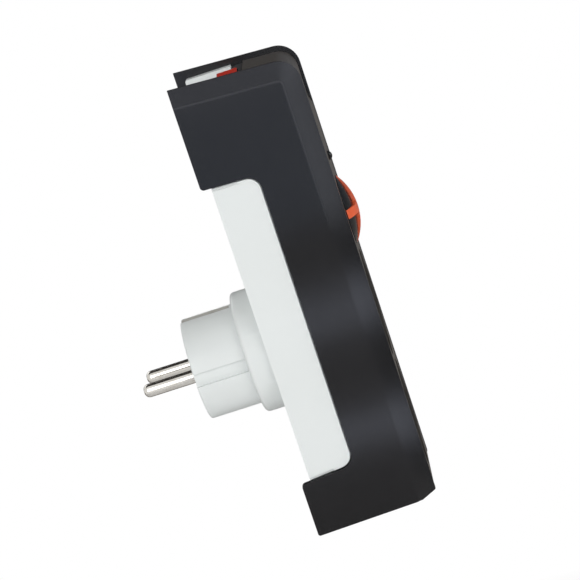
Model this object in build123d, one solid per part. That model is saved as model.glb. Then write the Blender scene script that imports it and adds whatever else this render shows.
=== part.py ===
from build123d import *
import os
from math import cos, pi, radians, sin, sqrt

# Double surge protector plug, in millimetres
# X runs across, +Y towards the wall, +Z up, and the origin is the centre of the plug's end face

# Wall plug, the common 16 A earthed pattern with two round pins
plug_diameter = 36.5
plug_length = 19.1
plug_edge_round = 0.6
collar_diameter = 43.9
collar_depth = 8.2
collar_round = 1.6
collar_wall = 2.4
pin_diameter = 4.8
pin_length = 19.0
pin_tip_round = 2.0
pin_spacing = 19.0
pin_shank_diameter = 4.2
pin_head_diameter = 8.0
pin_head_thickness = 1.2
pin_tail_diameter = 4.0
pin_tail_length = 2.8
plug_face_thickness = 16.0
plug_shell_wall = 2.75
guide_groove_width = 4.8
guide_groove_depth = 1.5
earth_notch_width = 5.4
earth_notch_depth = 1.3
earth_strap_width = 5.2
earth_strap_thickness = 0.9
earth_strap_inset = 0.4
fixed_clearance = 0.05

# Case seen from the side
leg_stand = 3.55
top_height = 99.3
top_fall = 2.25
bottom_margin = 6.9
bottom_break_depth = 38.6
bottom_break_rise = 1.2
bottom_front_rise = 3.6
corner_radius = 8.0
foot_radius = 0.8

# Side covers
cover_thickness = 2.2
cover_gap = 0.2
crease_band = 6.5
crease_fall = 0.6
notch_top = 63.6
notch_top_fall = 0.6
notch_bottom = -45.1
notch_bottom_rise = 1.8
notch_depth = 20.0
notch_radius = 4.8
notch_lip_radius = 1.3
leg_taper = 0.25
peg_diameter = 4.0
peg_length = 1.9
peg_clearance = 0.15

# Rear housing
side_wall = 1.8
rear_wall = 2.2
end_wall = 2.0
top_recess = 1.9
bottom_recess = 0.6
housing_edge_round = 0.8
cheek_recess = 0.6
cheek_clearance = 0.4
cheek_rebate_height = 0.8
cheek_rebate_length = 9.0
cheek_rebate_depth = 0.7
fascia_depth = 19.1
switch_gap = 4.5
top_channel_depth = 2.0
top_channel_rim = 5.6
boss_diameter = 8.4
screw_diameter = 3.0
screw_head_diameter = 5.6
screw_head_height = 2.4
screw_head_sink = 0.3
screw_reach = 10.0
head_clearance = 0.2
screw_boss_diameter = 5.5
upper_boss_inset = 5.3
upper_boss_drop = 16.9
lower_boss_inset = 4.0
lower_boss_rise = 9.2

# Plug flange inside the rear housing
flange_side_gap = 1.2
flange_half_height = 25.5
flange_thickness = 2.0
flange_corner = 4.0
flange_screw_side_inset = 4.6
flange_screw_end_inset = 4.0
flange_screw_reach = 3.0
flange_head_diameter = 6.0
flange_head_height = 1.4
flange_boss_diameter = 4.4
small_boss_diameter = 5.0
small_screw_diameter = 2.2
small_head_diameter = 4.4
small_head_height = 1.6
small_screw_reach = 6.0

# Front fascia
fascia_wall = 2.0
fascia_recess = 1.1
fascia_sink = 0.2
pad_margin = 19.4
pad_slope = 3.0
mouth_clearance = 0.15
mouth_lip = 1.2
mouth_step = 0.2

# Socket recesses
recess_diameter = 39.0
recess_depth = 17.5
recess_wall = 1.2
recess_gap = 0.1
socket_bridge = 2.6
web_half_width = 5.0
upper_socket_z = 3.6
contact_angle = 45.0
contact_hole_diameter = 5.6
contact_hole_lead = 0.4
floor_thickness = 2.0
guide_rib_width = 4.2
guide_rib_start = 2.5
guide_rib_gap = 0.25
insert_side_gap = 0.4
insert_screw_inset = 4.3
insert_screw_drop = 3.0
earth_arm_inset = 2.3
earth_arm_width = 5.0
earth_arm_thickness = 0.8
earth_arm_height = 13.0
earth_arm_bump = 0.9
earth_slot_clearance = 0.3

# Shutters
shutter_thickness = 1.4
shutter_gap = 0.3
shutter_overlap = 1.1
shutter_blade_half_angle = 20.0
shutter_hub_radius = 4.5
hub_diameter = 4.0
hub_running_clearance = 0.05
ring_diameter = 7.0
ring_thickness = 0.8
shutter_peg_radius = 10.5
earth_screw_diameter = 1.6
earth_screw_reach = 4.6
shutter_peg_diameter = 1.6
shutter_peg_height = 1.0
spring_wire = 0.5
spring_mean_radius = 3.0
spring_pitch = 0.95
spring_quarters = 9
spring_end_angle = -15.0
spring_leg_reach = 15.5
spring_post_diameter = 2.4

# Bus bars
contact_gap = 4.9
contact_leaf = 0.6
contact_width = 5.2
contact_length = 11.0
rail_thickness = 0.8
rail_width = 6.0
rail_gap = 0.5
rail_post_height = 4.0
pin_tab_half_height = 3.0
pin_foot_half_width = 2.5

# Surge board
board_side_gap = 1.6
board_socket_gap = 3.1
board_switch_gap = 0.5
board_thickness = 1.6
board_standoff = 14.7
board_screw_inset = 2.7
board_screw_margin = 4.0
varistor_diameter = 14.0
varistor_thickness = 4.4
varistor_pitch = 8.5
varistor_x = -9.0
varistor_rise = 7.0
varistor_stand = 1.2
component_wire = 0.8
gas_tube_x = 8.0
gas_tube_rise = 6.0
gas_tube_diameter = 8.0
gas_tube_length = 6.0
fuse_diameter = 3.8
fuse_length = 11.0
fuse_gap = 0.5
fuse_wire_reach = 1.5
capacitor_x = 9.9
capacitor_rise = 24.0
capacitor_width = 13.0
capacitor_length = 18.0
capacitor_height = 11.0
capacitor_round = 0.8
resistor_x = -9.0
resistor_rise = 35.0
resistor_diameter = 2.6
resistor_length = 6.5

# Button
button_gap = 2.7
button_diameter = 24.8
button_rise = 3.0
cross_rise = 4.25
cross_rib_width = 3.2
cross_corner_radius = 3.0
cross_edge_inset = 0.2
button_clearance = 0.2
button_wall = 1.6
button_flange_reach = 1.4
button_flange_thickness = 1.2
button_flange_gap = 0.3
button_travel = 2.5
button_guide_wall = 1.1
stem_diameter = 6.0
plunger_diameter = 3.0
plunger_entry = 1.0
plunger_seat = 1.0
plunger_clearance = 0.2
push_switch_size = 12.0
push_switch_height = 8.0

# Indicator
lens_gap = 7.4
lens_diameter = 3.4
lens_rise = 1.2
lens_clearance = 0.1
lens_flange_diameter = 5.4
lens_flange_thickness = 1.0
light_pipe_diameter = 2.6
led_diameter = 3.0
led_height = 5.3
led_gap = 0.3

# Rocker switch
rocker_half_length = 8.3
rocker_width = 7.3
rocker_front_gap = 2.1
rocker_clearance = 0.4
rocker_end_clearance = 0.6
rocker_sink = 0.3
rocker_pivot_depth = 5.2
rocker_end_height = 5.0
rocker_middle_height = 4.3
rocker_tilt = 5.0
rocker_pivot_diameter = 2.4
rocker_foot_half = 2.2
rocker_end_round = 0.8
rocker_well_depth = 4.2
rocker_body_depth = 13.0
rocker_body_wall = 1.2
rocker_flange_side_gap = 0.4
rocker_flange_thickness = 2.4
rocker_flange_recess = 0.6
terminal_pitch = 6.5
terminal_width = 4.0
terminal_thickness = 0.8
terminal_length = 6.0
lamp_diameter = 2.4
lamp_height = 1.5

# Internal leads
lead_diameter = 2.2
lead_bend = 3.0
lead_room = 1.2
lead_start = 7.0
live_lead_inset = 5.3
live_lead_rise = 12.0
live_lead_turn = 9.0
live_lead_drop = 6.0
switched_lead_x = 0.7
switched_lead_drop = 8.0
switched_lead_bend = 20.0
lead_board_gap = 4.0
switched_lead_end = 6.0
neutral_lead_inset = 2.8
neutral_lead_bend = 14.0
neutral_lead_end = 8.0
earth_lead_drop = 9.0
earth_link_drop = 15.0
earth_lead_start = 6.0

# Planes along Y and half widths worked out from the sizes above
flange_lead_depth = flange_head_height + 1.5 * lead_diameter
board_depth = board_standoff + board_thickness + capacitor_height
cover_depth = (leg_stand + rear_wall + flange_thickness + flange_lead_depth + lead_room + board_depth
               + fascia_wall + fascia_recess)
housing_rear = -(plug_length + collar_depth)
leg_rear = housing_rear + leg_stand
cover_front = leg_rear - cover_depth
fascia_front = cover_front + fascia_recess
fascia_back = fascia_front + fascia_wall
pad_front = cover_front + fascia_sink
fascia_rear = cover_front + fascia_depth
housing_inner = housing_rear - rear_wall
housing_top_end = fascia_rear + switch_gap
notch_front = leg_rear - notch_depth
cup_front = pad_front + mouth_lip + fixed_clearance
recess_floor = pad_front + recess_depth
floor_back = recess_floor + floor_thickness
board_front = fascia_back + board_standoff
board_back = board_front + board_thickness
flange_back = housing_inner - flange_thickness
plug_radius = plug_diameter / 2
recess_radius = recess_diameter / 2
recess_outer = recess_radius + recess_wall
inner_half = recess_outer + recess_gap
case_half = inner_half + side_wall
case_width = 2 * (case_half + cover_gap + cover_thickness)
cheek_half = case_width / 2 - cheek_recess
socket_pitch = recess_diameter + socket_bridge
lower_socket_z = upper_socket_z - socket_pitch
bottom_drop = recess_radius - lower_socket_z + bottom_margin
upper_boss_x = inner_half - upper_boss_inset
upper_boss_z = top_height - upper_boss_drop
lower_boss_x = inner_half - lower_boss_inset
lower_boss_z = lower_boss_rise - bottom_drop
flange_half_width = inner_half - flange_side_gap
flange_screw_x = flange_half_width - flange_screw_side_inset
flange_screw_z = flange_half_height - flange_screw_end_inset
insert_half_width = inner_half - insert_side_gap
insert_screw_x = inner_half - insert_screw_inset
earth_arm_radius = recess_radius - earth_arm_inset
shutter_blade_radius = pin_spacing / 2 + contact_hole_diameter / 2 + shutter_overlap
board_half_width = inner_half - board_side_gap
board_screw_x = board_half_width - board_screw_inset
board_bottom = upper_socket_z + recess_outer + board_socket_gap
socket_heights = {"upper": upper_socket_z, "lower": lower_socket_z}
contact_reach = pin_spacing / 2 * cos(radians(contact_angle))
contact_rise = pin_spacing / 2 * sin(radians(contact_angle))
insert_screw_heights = (upper_socket_z + recess_outer - insert_screw_drop,
                        upper_socket_z - socket_pitch / 2)
button_radius = button_diameter / 2
button_z = upper_socket_z + recess_radius + button_gap + button_radius
button_flange_diameter = button_diameter + 2 * button_flange_reach
lens_z = button_z + button_radius + lens_gap
pad_top = lens_z + pad_margin
rocker_flange_half_length = case_half - rocker_flange_side_gap
push_switch_front = board_front - push_switch_height
parts = {}


def top_edge(y):
    """Height of the side covers' top edge at a depth."""
    return top_height - top_fall * (leg_rear - y) / cover_depth


def bottom_edge(y):
    """Height of the side covers' bottom edge at a depth."""
    depth = leg_rear - y
    if depth <= bottom_break_depth:
        return -bottom_drop + bottom_break_rise * depth / bottom_break_depth
    share = (depth - bottom_break_depth) / (cover_depth - bottom_break_depth)
    return -bottom_drop + bottom_break_rise + (bottom_front_rise - bottom_break_rise) * share


def housing_top():
    """Height of the rear housing's level top, flush with the fascia at the seam."""
    return top_edge(fascia_rear) - top_recess


def board_top():
    """Height of the circuit board's upper end, just under the rocker switch."""
    return rocker_centre()[1] - rocker_body_depth - board_switch_gap


def board_screw_heights():
    """Heights of the screws that hold the circuit board."""
    return board_bottom + board_screw_margin, board_top() - board_screw_margin


def block(x_range, y_range, z_range):
    """Box between two limits on each axis."""
    spans = [sorted(limits) for limits in (x_range, y_range, z_range)]
    middle = [(low + high) / 2 for low, high in spans]
    return Pos(*middle) * Box(*[high - low for low, high in spans])


def rod(radius, y_start, y_end, x=0.0, z=0.0):
    """Round bar along Y between two depths."""
    return Pos(x, (y_start + y_end) / 2, z) * Rot(90, 0, 0) * Cylinder(radius, abs(y_end - y_start))


def nearest_vertex(shape, point):
    """The corner of a flat shape that lies nearest a point."""
    target = Vector(*point)
    return min(shape.vertices(), key=lambda vertex: (Vector(vertex) - target).length)


def side_plate(sketch, x_start, x_end):
    """Side view drawn as (y, z) and extruded from one x to another."""
    low, high = sorted((x_start, x_end))
    return extrude(Plane.YZ.offset(low) * sketch, high - low)


def side_outline(rear, front, top_inset, bottom_inset, corner, rear_shift=0.0, break_shift=0.0):
    """Side view of the case between two depths, set in from the covers' top and bottom edges."""
    break_y = leg_rear - bottom_break_depth + break_shift
    points = [
        (rear, top_edge(rear) - top_inset),
        (front, top_edge(front) - top_inset),
        (front, bottom_edge(front) + bottom_inset),
    ]
    if front < break_y < rear:
        points.append((break_y, bottom_edge(break_y) + bottom_inset))
    points.append((rear - rear_shift, bottom_edge(rear) + bottom_inset))
    outline = Polygon(*points, align=None)
    if corner > 0:
        outline = fillet(nearest_vertex(outline, points[1]), corner)
    return outline


def around_socket(shape, height):
    """Turn a piece drawn with its contacts along X to the contact angle, at a socket's height."""
    return Pos(0, 0, height) * Rot(0, -contact_angle, 0) * shape


def mirrored(shape):
    """The same piece on the other side of the case."""
    return mirror(shape, about=Plane.YZ)


def both_sides(shape):
    """A piece and its mirror image."""
    return shape + mirrored(shape)


def screw(x, z, head_y, direction, shank_diameter, head_diameter, head_height, reach):
    """Pan-head screw along Y: head behind head_y, shank running the other way."""
    head = rod(head_diameter / 2, head_y, head_y + direction * head_height, x, z)
    head = fillet(head.edges().filter_by(GeomType.CIRCLE).sort_by(Axis.Y)[-1 if direction > 0 else 0],
                  head_height * 0.3)
    slot_depth = head_height * 0.45
    outer = head_y + direction * head_height
    slot_y = (outer - direction * slot_depth, outer + direction)
    slot_half = head_diameter * 0.3
    slot_width = head_diameter * 0.07
    cross = block((x - slot_half, x + slot_half), slot_y, (z - slot_width, z + slot_width))
    cross += block((x - slot_width, x + slot_width), slot_y, (z - slot_half, z + slot_half))
    shank = rod(shank_diameter / 2, head_y, head_y - direction * reach, x, z)
    return head - cross + shank


def cover_pegs():
    """Depth and height of each snap peg that holds a side cover to the case."""
    rear_y = (leg_rear + notch_front) / 2
    front_y = (fascia_back + fascia_rear) / 2
    upper_z = (notch_top + top_height) / 2
    lower_z = (notch_bottom - bottom_drop) / 2
    between_z = upper_socket_z - socket_pitch / 2
    return [(rear_y, upper_z), (rear_y, lower_z), (front_y, between_z), (front_y, lens_z)]


def peg_holes(places):
    """Holes through the case's side walls for the side covers' pegs."""
    depth = 2 * side_wall
    holes = [Pos(case_half, y, z) * Rot(0, 90, 0) * Cylinder(peg_diameter / 2 + peg_clearance, depth)
             for y, z in places]
    return [turn for hole in holes for turn in (hole, mirrored(hole))]


def cover_outline(inset):
    """Side view of a cover, with its top and front edges moved in."""
    front = cover_front + inset
    outline = side_outline(leg_rear, front, inset, 0, corner_radius - inset, leg_taper, inset)
    foot_points = [(front, bottom_edge(front)), (leg_rear - leg_taper, bottom_edge(leg_rear))]
    outline = fillet([nearest_vertex(outline, point) for point in foot_points], foot_radius)
    outline -= notch_outline(leg_rear + leg_taper + 1, 0)
    lips = [nearest_vertex(outline, (leg_rear, z)) for z in (notch_top, notch_bottom)]
    return fillet(lips, notch_lip_radius)


def notch_edges(y):
    """Heights of the notch's top and bottom edge at a depth, as both edges slope inwards."""
    share = (leg_rear - y) / notch_depth
    return notch_top - notch_top_fall * share, notch_bottom + notch_bottom_rise * share


def notch_outline(rear, clearance):
    """Side view of the notch at a cover's rear edge, drawn in by a clearance."""
    front = notch_front + clearance
    ends = [(y, notch_edges(y)[0] - clearance, notch_edges(y)[1] + clearance) for y in (rear, front)]
    (rear, rear_top, rear_bottom), (front, front_top, front_bottom) = ends
    outline = Polygon((rear, rear_top), (front, front_top), (front, front_bottom), (rear, rear_bottom),
                      align=None)
    corners = [nearest_vertex(outline, (front, z)) for z in (front_top, front_bottom)]
    return fillet(corners, notch_radius - clearance)


def side_cover():
    """Left side cover: a plate with a creased edge, an open notch at the rear and snap pegs."""
    outer = -case_width / 2
    inner = outer + cover_thickness
    plate = side_plate(cover_outline(0), outer + crease_fall, inner)
    low_section = Plane.YZ.offset(outer + crease_fall) * cover_outline(0)
    high_section = Plane.YZ.offset(outer) * cover_outline(crease_band)
    plate += loft([low_section, high_section], ruled=True)
    for y, z in cover_pegs():
        peg = Pos(inner + peg_length / 2, y, z) * Rot(0, 90, 0) * Cylinder(peg_diameter / 2, peg_length)
        plate += peg
    return plate


def rear_housing():
    """White tray: rear wall, sides, ends, the cheeks that fill the covers' notches, and bosses."""
    shell = side_plate(housing_outline(housing_rear, fascia_rear, 0, 0), -case_half, case_half)
    channel_floor = housing_top() - top_channel_depth
    channel_half = case_half - top_channel_rim
    shell -= block((-channel_half, channel_half), (housing_rear + 1, housing_top_end - 1),
                   (channel_floor, top_height))
    rear_edges = shell.faces().sort_by(Axis.Y)[-1].edges()
    shell = fillet(rear_edges, housing_edge_round)
    shell += both_sides(cheek())
    hollow = housing_outline(housing_inner, fascia_rear - 1, top_channel_depth + end_wall, end_wall)
    shell -= side_plate(hollow, -inner_half, inner_half)
    opening_top = top_height + 1
    seat_floor = housing_top() - rocker_flange_thickness - rocker_flange_recess
    shell -= block((-case_half - 1, case_half + 1), (fascia_rear - 1, housing_top_end),
                   (seat_floor, opening_top))
    slot_half = rocker_half_length + rocker_end_clearance
    neck_half = slot_half + rocker_body_wall + rocker_clearance
    shell -= block((-neck_half, neck_half), (fascia_rear - 1, housing_top_end),
                   (housing_top() - rocker_body_depth, opening_top))
    rocker_rear = rocker_centre()[0] + rocker_width / 2
    shell -= block((-slot_half, slot_half), (fascia_rear - 1, rocker_rear + rocker_clearance),
                   (housing_top() - rocker_body_depth, opening_top))
    shell -= rod(collar_diameter / 2 + fixed_clearance, housing_rear + 1, housing_inner)
    for x in (-1, 1):
        for boss_x, boss_z in ((upper_boss_x, upper_boss_z), (lower_boss_x, lower_boss_z)):
            shell += rod(boss_diameter / 2, housing_inner + 0.5, fascia_rear, x * boss_x, boss_z)
            shell -= rod(screw_diameter / 2 + head_clearance, housing_rear + 1, fascia_rear - 1,
                         x * boss_x, boss_z)
            shell -= rod(screw_head_diameter / 2 + head_clearance, housing_rear + 1,
                         housing_rear - screw_head_height - screw_head_sink, x * boss_x, boss_z)
        for z in (-1, 1):
            shell += rod(flange_boss_diameter / 2, housing_inner + 0.5, flange_back + head_clearance,
                         x * flange_screw_x, z * flange_screw_z)
            shell -= rod(small_screw_diameter / 2 + fixed_clearance, flange_back - 1,
                         housing_inner + rear_wall / 2, x * flange_screw_x, z * flange_screw_z)
    return shell - peg_holes([place for place in cover_pegs() if place[0] > fascia_rear])


def housing_outline(rear, front, top_inset, bottom_inset):
    """Side view of the rear housing between two depths, with its level top."""
    top = housing_top() - top_inset
    return Polygon((rear, top), (front, top), (front, bottom_edge(front) + bottom_recess + bottom_inset),
                   (rear, bottom_edge(rear) + bottom_recess + bottom_inset), align=None)


def cheek():
    """Left cheek: the pad of the rear housing that shows through a side cover's notch."""
    outline = notch_outline(housing_rear, cheek_clearance)
    pad = side_plate(outline, -cheek_half, -case_half + side_wall / 2)
    rear = housing_rear + 1
    end = housing_rear - cheek_rebate_length
    reach = cheek_clearance + cheek_rebate_height
    for side, high, low in ((0, 1, -reach), (1, reach, -1)):
        rear_z, end_z = [notch_edges(y)[side] for y in (rear, end)]
        strip = Polygon((rear, rear_z + high), (end, end_z + high), (end, end_z + low), (rear, rear_z + low),
                        align=None)
        pad -= side_plate(strip, -cheek_half - 1, -cheek_half + cheek_rebate_depth)
    return pad


def front_fascia():
    """Dark front shell: front wall, its wraps over the ends, the raised control pad and bosses."""
    shell = side_plate(side_outline(fascia_rear, fascia_front, top_recess, bottom_recess,
                                    corner_radius - fascia_recess), -case_half, case_half)
    pad_rear = fascia_front + 0.5
    pad = Polygon((pad_rear, pad_top), (fascia_front, pad_top), (pad_front, pad_top - pad_slope),
                  (pad_front, bottom_edge(pad_front) + bottom_recess),
                  (pad_rear, bottom_edge(pad_rear) + bottom_recess), align=None)
    shell += side_plate(pad, -case_half, case_half)
    hollow = side_outline(fascia_rear + 1, fascia_back, top_recess + end_wall, bottom_recess + end_wall,
                          corner_radius - fascia_recess - fascia_wall)
    shell -= side_plate(hollow, -inner_half, inner_half)
    for height in socket_heights.values():
        shell -= rod(recess_radius + mouth_step, cover_front - 1, fascia_back + 1, 0, height)
        cup_room = rod(recess_outer + mouth_clearance, pad_front + mouth_lip, recess_floor, 0, height)
        shell -= cup_room & block((-inner_half, inner_half), (pad_front, recess_floor),
                                  (height - socket_pitch, height + socket_pitch))
    web_room = web_half_width + mouth_clearance
    shell -= block((-web_room, web_room), (pad_front + mouth_lip, fascia_back + 1),
                   (lower_socket_z, upper_socket_z))
    guide_inner = button_flange_diameter / 2 + button_clearance
    guide_end = fascia_back + button_flange_gap + button_flange_thickness + button_travel
    shell += (rod(guide_inner + button_guide_wall, fascia_back - 0.5, guide_end, 0, button_z)
              - rod(guide_inner, fascia_back, guide_end + 1, 0, button_z)
              - rod(recess_outer + head_clearance, pad_front, guide_end + 1, 0, upper_socket_z))
    shell -= rod(button_radius + button_clearance, cover_front - 1, fascia_back + 1, 0, button_z)
    shell -= rod(lens_diameter / 2 + lens_clearance, cover_front - 1, fascia_back + 1, 0, lens_z)
    for x in (-1, 1):
        for z in insert_screw_heights:
            shell += rod(small_boss_diameter / 2, fascia_back - 0.5, recess_floor, x * insert_screw_x, z)
            shell -= rod(small_screw_diameter / 2 + fixed_clearance, recess_floor + 1,
                         recess_floor - small_screw_reach - 1, x * insert_screw_x, z)
        for z in board_screw_heights():
            shell += rod(small_boss_diameter / 2, fascia_back - 0.5, board_front, x * board_screw_x, z)
            shell -= rod(small_screw_diameter / 2 + fixed_clearance, board_front + 1,
                         board_front - small_screw_reach - 1, x * board_screw_x, z)
        for boss_x, boss_z in ((upper_boss_x, upper_boss_z), (lower_boss_x, lower_boss_z)):
            shell += rod(screw_boss_diameter / 2, fascia_back - 0.5, fascia_rear, x * boss_x, boss_z)
            shell -= rod(screw_diameter / 2 + fixed_clearance, fascia_rear + 1,
                         fascia_rear - screw_reach - 1, x * boss_x, boss_z)
    return shell - peg_holes([place for place in cover_pegs() if place[0] < fascia_rear])


def housing_screws():
    """The long screws that join the rear housing to the fascia."""
    head_y = housing_rear - screw_head_height - screw_head_sink
    reach = head_y - fascia_rear + screw_reach
    screws = [screw(x * boss_x, boss_z, head_y, 1, screw_diameter, screw_head_diameter,
                    screw_head_height, reach)
              for x in (-1, 1) for boss_x, boss_z in ((upper_boss_x, upper_boss_z),
                                                      (lower_boss_x, lower_boss_z))]
    return Compound(screws)


def small_screws(places, seat_y, direction):
    """Small screws with their heads on seat_y, pointing away from direction."""
    return Compound([screw(x, z, seat_y, direction, small_screw_diameter, small_head_diameter,
                           small_head_height, small_screw_reach) for x, z in places])


def flange_screws():
    """Screws that hold the plug's flange to the bosses of the rear housing."""
    return Compound([screw(x * flange_screw_x, z * flange_screw_z, flange_back, -1, small_screw_diameter,
                           flange_head_diameter, flange_head_height, flange_screw_reach)
                     for x in (-1, 1) for z in (-1, 1)])


def plug_body():
    """Round plug with guide grooves, earth notches, collar and the flange inside the housing."""
    hollow_radius = plug_radius - plug_shell_wall
    body = rod(plug_radius, 0, -plug_length - 1)
    body = fillet(body.edges().filter_by(GeomType.CIRCLE).sort_by(Axis.Y)[-1], plug_edge_round)
    groove_floor = plug_radius - guide_groove_depth
    for side in (-1, 1):
        body -= block((side * groove_floor, side * (plug_radius + 1)), (1, -plug_length),
                      (-guide_groove_width / 2, guide_groove_width / 2))
    collar = rod(collar_diameter / 2, -plug_length, housing_inner)
    collar = fillet(collar.edges().filter_by(GeomType.CIRCLE).sort_by(Axis.Y)[-1], collar_round)
    body += collar
    flange = block((-flange_half_width, flange_half_width), (housing_inner, flange_back),
                   (-flange_half_height, flange_half_height))
    body += fillet(flange.edges().filter_by(Axis.Y), flange_corner)
    room = inner_half - head_clearance
    body += rod(collar_diameter / 2, housing_inner, flange_back) & block(
        (-room, room), (housing_inner, flange_back), (-collar_diameter, collar_diameter))
    body -= rod(hollow_radius, -plug_face_thickness, flange_back - 1)
    body -= rod(collar_diameter / 2 - collar_wall, -plug_length - collar_wall, flange_back - 1)
    notch_floor = plug_radius - earth_notch_depth
    strap_rear = -plug_face_thickness - 1 - earth_strap_thickness
    for side in (-1, 1):
        body -= block((-earth_notch_width / 2, earth_notch_width / 2), (1, strap_rear - fixed_clearance),
                      (side * notch_floor, side * (plug_radius + 1)))
        body -= block((-earth_strap_width / 2 - fixed_clearance, earth_strap_width / 2 + fixed_clearance),
                      (strap_rear - fixed_clearance, strap_rear + earth_strap_thickness + fixed_clearance),
                      (side * (hollow_radius - 2), side * (notch_floor + 1)))
        body -= rod(pin_shank_diameter / 2 + fixed_clearance, 1, -plug_face_thickness - 1,
                    side * pin_spacing / 2)
        for z in (-1, 1):
            body -= rod(flange_boss_diameter / 2 + head_clearance, housing_inner + 1, flange_back - 1,
                        side * flange_screw_x, z * flange_screw_z)
    return body


def plug_pin(side):
    """Round pin riveted through the plug's face: rounded tip, shank, head and tail."""
    x = side * pin_spacing / 2
    pin = rod(pin_diameter / 2, 0, pin_length, x)
    pin = fillet(pin.edges().filter_by(GeomType.CIRCLE).sort_by(Axis.Y)[-1], pin_tip_round)
    pin += rod(pin_shank_diameter / 2, 0, -plug_face_thickness, x)
    head_end = -plug_face_thickness - pin_head_thickness
    pin += rod(pin_head_diameter / 2, -plug_face_thickness, head_end, x)
    pin += rod(pin_tail_diameter / 2, head_end, head_end - pin_tail_length, x)
    return pin


def plug_earth_strap():
    """One strap bent round the plug's inside, with a contact arm in each side notch."""
    arm_floor = plug_radius - earth_notch_depth + fixed_clearance
    arm_top = arm_floor + earth_strap_thickness
    rear = -plug_face_thickness - 1 - earth_strap_thickness
    half = earth_strap_width / 2
    strap = block((-half, half), (rear, rear + earth_strap_thickness), (-arm_top, arm_top))
    for side in (-1, 1):
        strap += block((-half, half), (rear, -earth_strap_inset), (side * arm_floor, side * arm_top))
    bends = [edge for edge in strap.edges().filter_by(Axis.X) if edge.center().Y < rear + 0.01]
    return fillet(bends, earth_strap_thickness * 0.6)


def socket_insert():
    """Double recess moulding: cups, floor with contact holes, guide ribs, hubs and posts."""
    plate_top = upper_socket_z + recess_outer
    plate_bottom = lower_socket_z - recess_outer
    insert = block((-insert_half_width, insert_half_width), (recess_floor, floor_back),
                   (plate_bottom, plate_top))
    for height in socket_heights.values():
        insert += rod(recess_outer, cup_front, recess_floor + 0.5, 0, height)
    insert += block((-web_half_width, web_half_width), (cup_front, recess_floor + 0.5),
                    (lower_socket_z + recess_radius, upper_socket_z - recess_radius))
    for height in socket_heights.values():
        insert -= rod(recess_radius, cup_front - 1, recess_floor, 0, height)
        insert += around_socket(recess_details(), height)
        insert -= around_socket(recess_cuts(), height)
        insert += around_socket(hub_details(), height)
    for side in (-1, 1):
        for z in insert_screw_heights:
            insert -= rod(small_screw_diameter / 2 + head_clearance, recess_floor - 1, floor_back + 1,
                          side * insert_screw_x, z)
        insert -= rod(boss_diameter / 2 + cover_gap, recess_floor - 1, floor_back + 1,
                      side * lower_boss_x, lower_boss_z)
        insert -= block((side * lower_boss_x, side * (insert_half_width + 1)),
                        (recess_floor - 1, floor_back + 1), (plate_bottom - 1, lower_boss_z))
        insert += rail_post(side)
    return insert


def recess_details():
    """Guide ribs of one recess, that run in a plug's side grooves."""
    rib_inner = plug_radius - guide_groove_depth + guide_rib_gap
    ribs = block((rib_inner, recess_radius + recess_wall / 2),
                 (pad_front + guide_rib_start, recess_floor + 0.5),
                 (-guide_rib_width / 2, guide_rib_width / 2))
    return both_sides(ribs)


def recess_cuts():
    """Contact holes and earth slots of one recess."""
    cuts = rod(contact_hole_diameter / 2, recess_floor - 1, floor_back + 1, pin_spacing / 2)
    lead = Pos(pin_spacing / 2, recess_floor + contact_hole_lead / 2, 0) * Rot(90, 0, 0) * Cone(
        contact_hole_diameter / 2, contact_hole_diameter / 2 + contact_hole_lead, contact_hole_lead)
    cuts = both_sides(cuts + lead)
    half = earth_arm_width / 2 + earth_slot_clearance
    for side in (-1, 1):
        cuts += block((-half, half), (recess_floor - 1, floor_back + 1),
                      (side * (earth_arm_radius - earth_slot_clearance - earth_arm_bump),
                       side * (earth_arm_radius + earth_arm_thickness + earth_slot_clearance)))
    return cuts


def shutter_rear():
    """Depth of a shutter's rear face."""
    return floor_back + shutter_gap + shutter_thickness


def leg_depth():
    """Depth of the centre line of a spring's moving leg."""
    return shutter_rear() + spring_wire / 2 + fixed_clearance


def coil_depths():
    """Depths of the centre line where a spring's coil starts and ends."""
    start = leg_depth() + spring_wire + fixed_clearance
    return start, start + spring_pitch * spring_quarters / 4


def ring_depth():
    """Depth of the front face of the ring that keeps a shutter and its spring."""
    return coil_depths()[1] + spring_wire / 2 + 2 * fixed_clearance


def hub_top():
    """Depth of the hub's end, where the earth clip sits."""
    return ring_depth() + ring_thickness + fixed_clearance


def off_coil(angle, reach, aside):
    """Point (x, z) along a coil's tangent at an angle, and aside of it away from the coil."""
    turn = radians(angle)
    out = spring_mean_radius + aside
    return out * cos(turn) - reach * sin(turn), out * sin(turn) + reach * cos(turn)


def hub_details():
    """Hub post of one shutter and the post that holds its spring's fixed leg."""
    hub = rod(hub_diameter / 2, floor_back - 0.5, hub_top())
    hub -= rod(earth_screw_diameter / 2 + fixed_clearance, floor_back + 0.5, hub_top() + 1)
    aside = (spring_post_diameter + spring_wire) / 2 + fixed_clearance
    x, z = off_coil(spring_end_angle, spring_leg_reach, aside)
    return hub + rod(spring_post_diameter / 2, floor_back - 0.5, hub_top(), x, z)


def rail_x():
    """Distance of a bus bar's inner face from the middle of the case."""
    return contact_reach + contact_gap / 2 + contact_leaf


def rail_depths():
    """Front and rear edges of the bus bars."""
    front = hub_top() + earth_arm_thickness + rail_gap
    return front, front + rail_width


def rail_post(side):
    """Slotted post behind the floor that holds one bus bar between the sockets."""
    front = rail_depths()[0]
    middle = upper_socket_z - socket_pitch / 2
    inner = rail_x()
    post = block((side * (inner - 1.0), side * (inner + rail_thickness + 1.0)),
                 (floor_back - 0.5, front + rail_post_height),
                 (middle - rail_post_height / 2, middle + rail_post_height / 2))
    slot = block((side * (inner - fixed_clearance), side * (inner + rail_thickness + fixed_clearance)),
                 (front - fixed_clearance, front + rail_post_height + 1),
                 (middle - rail_post_height, middle + rail_post_height))
    return post - slot


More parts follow.
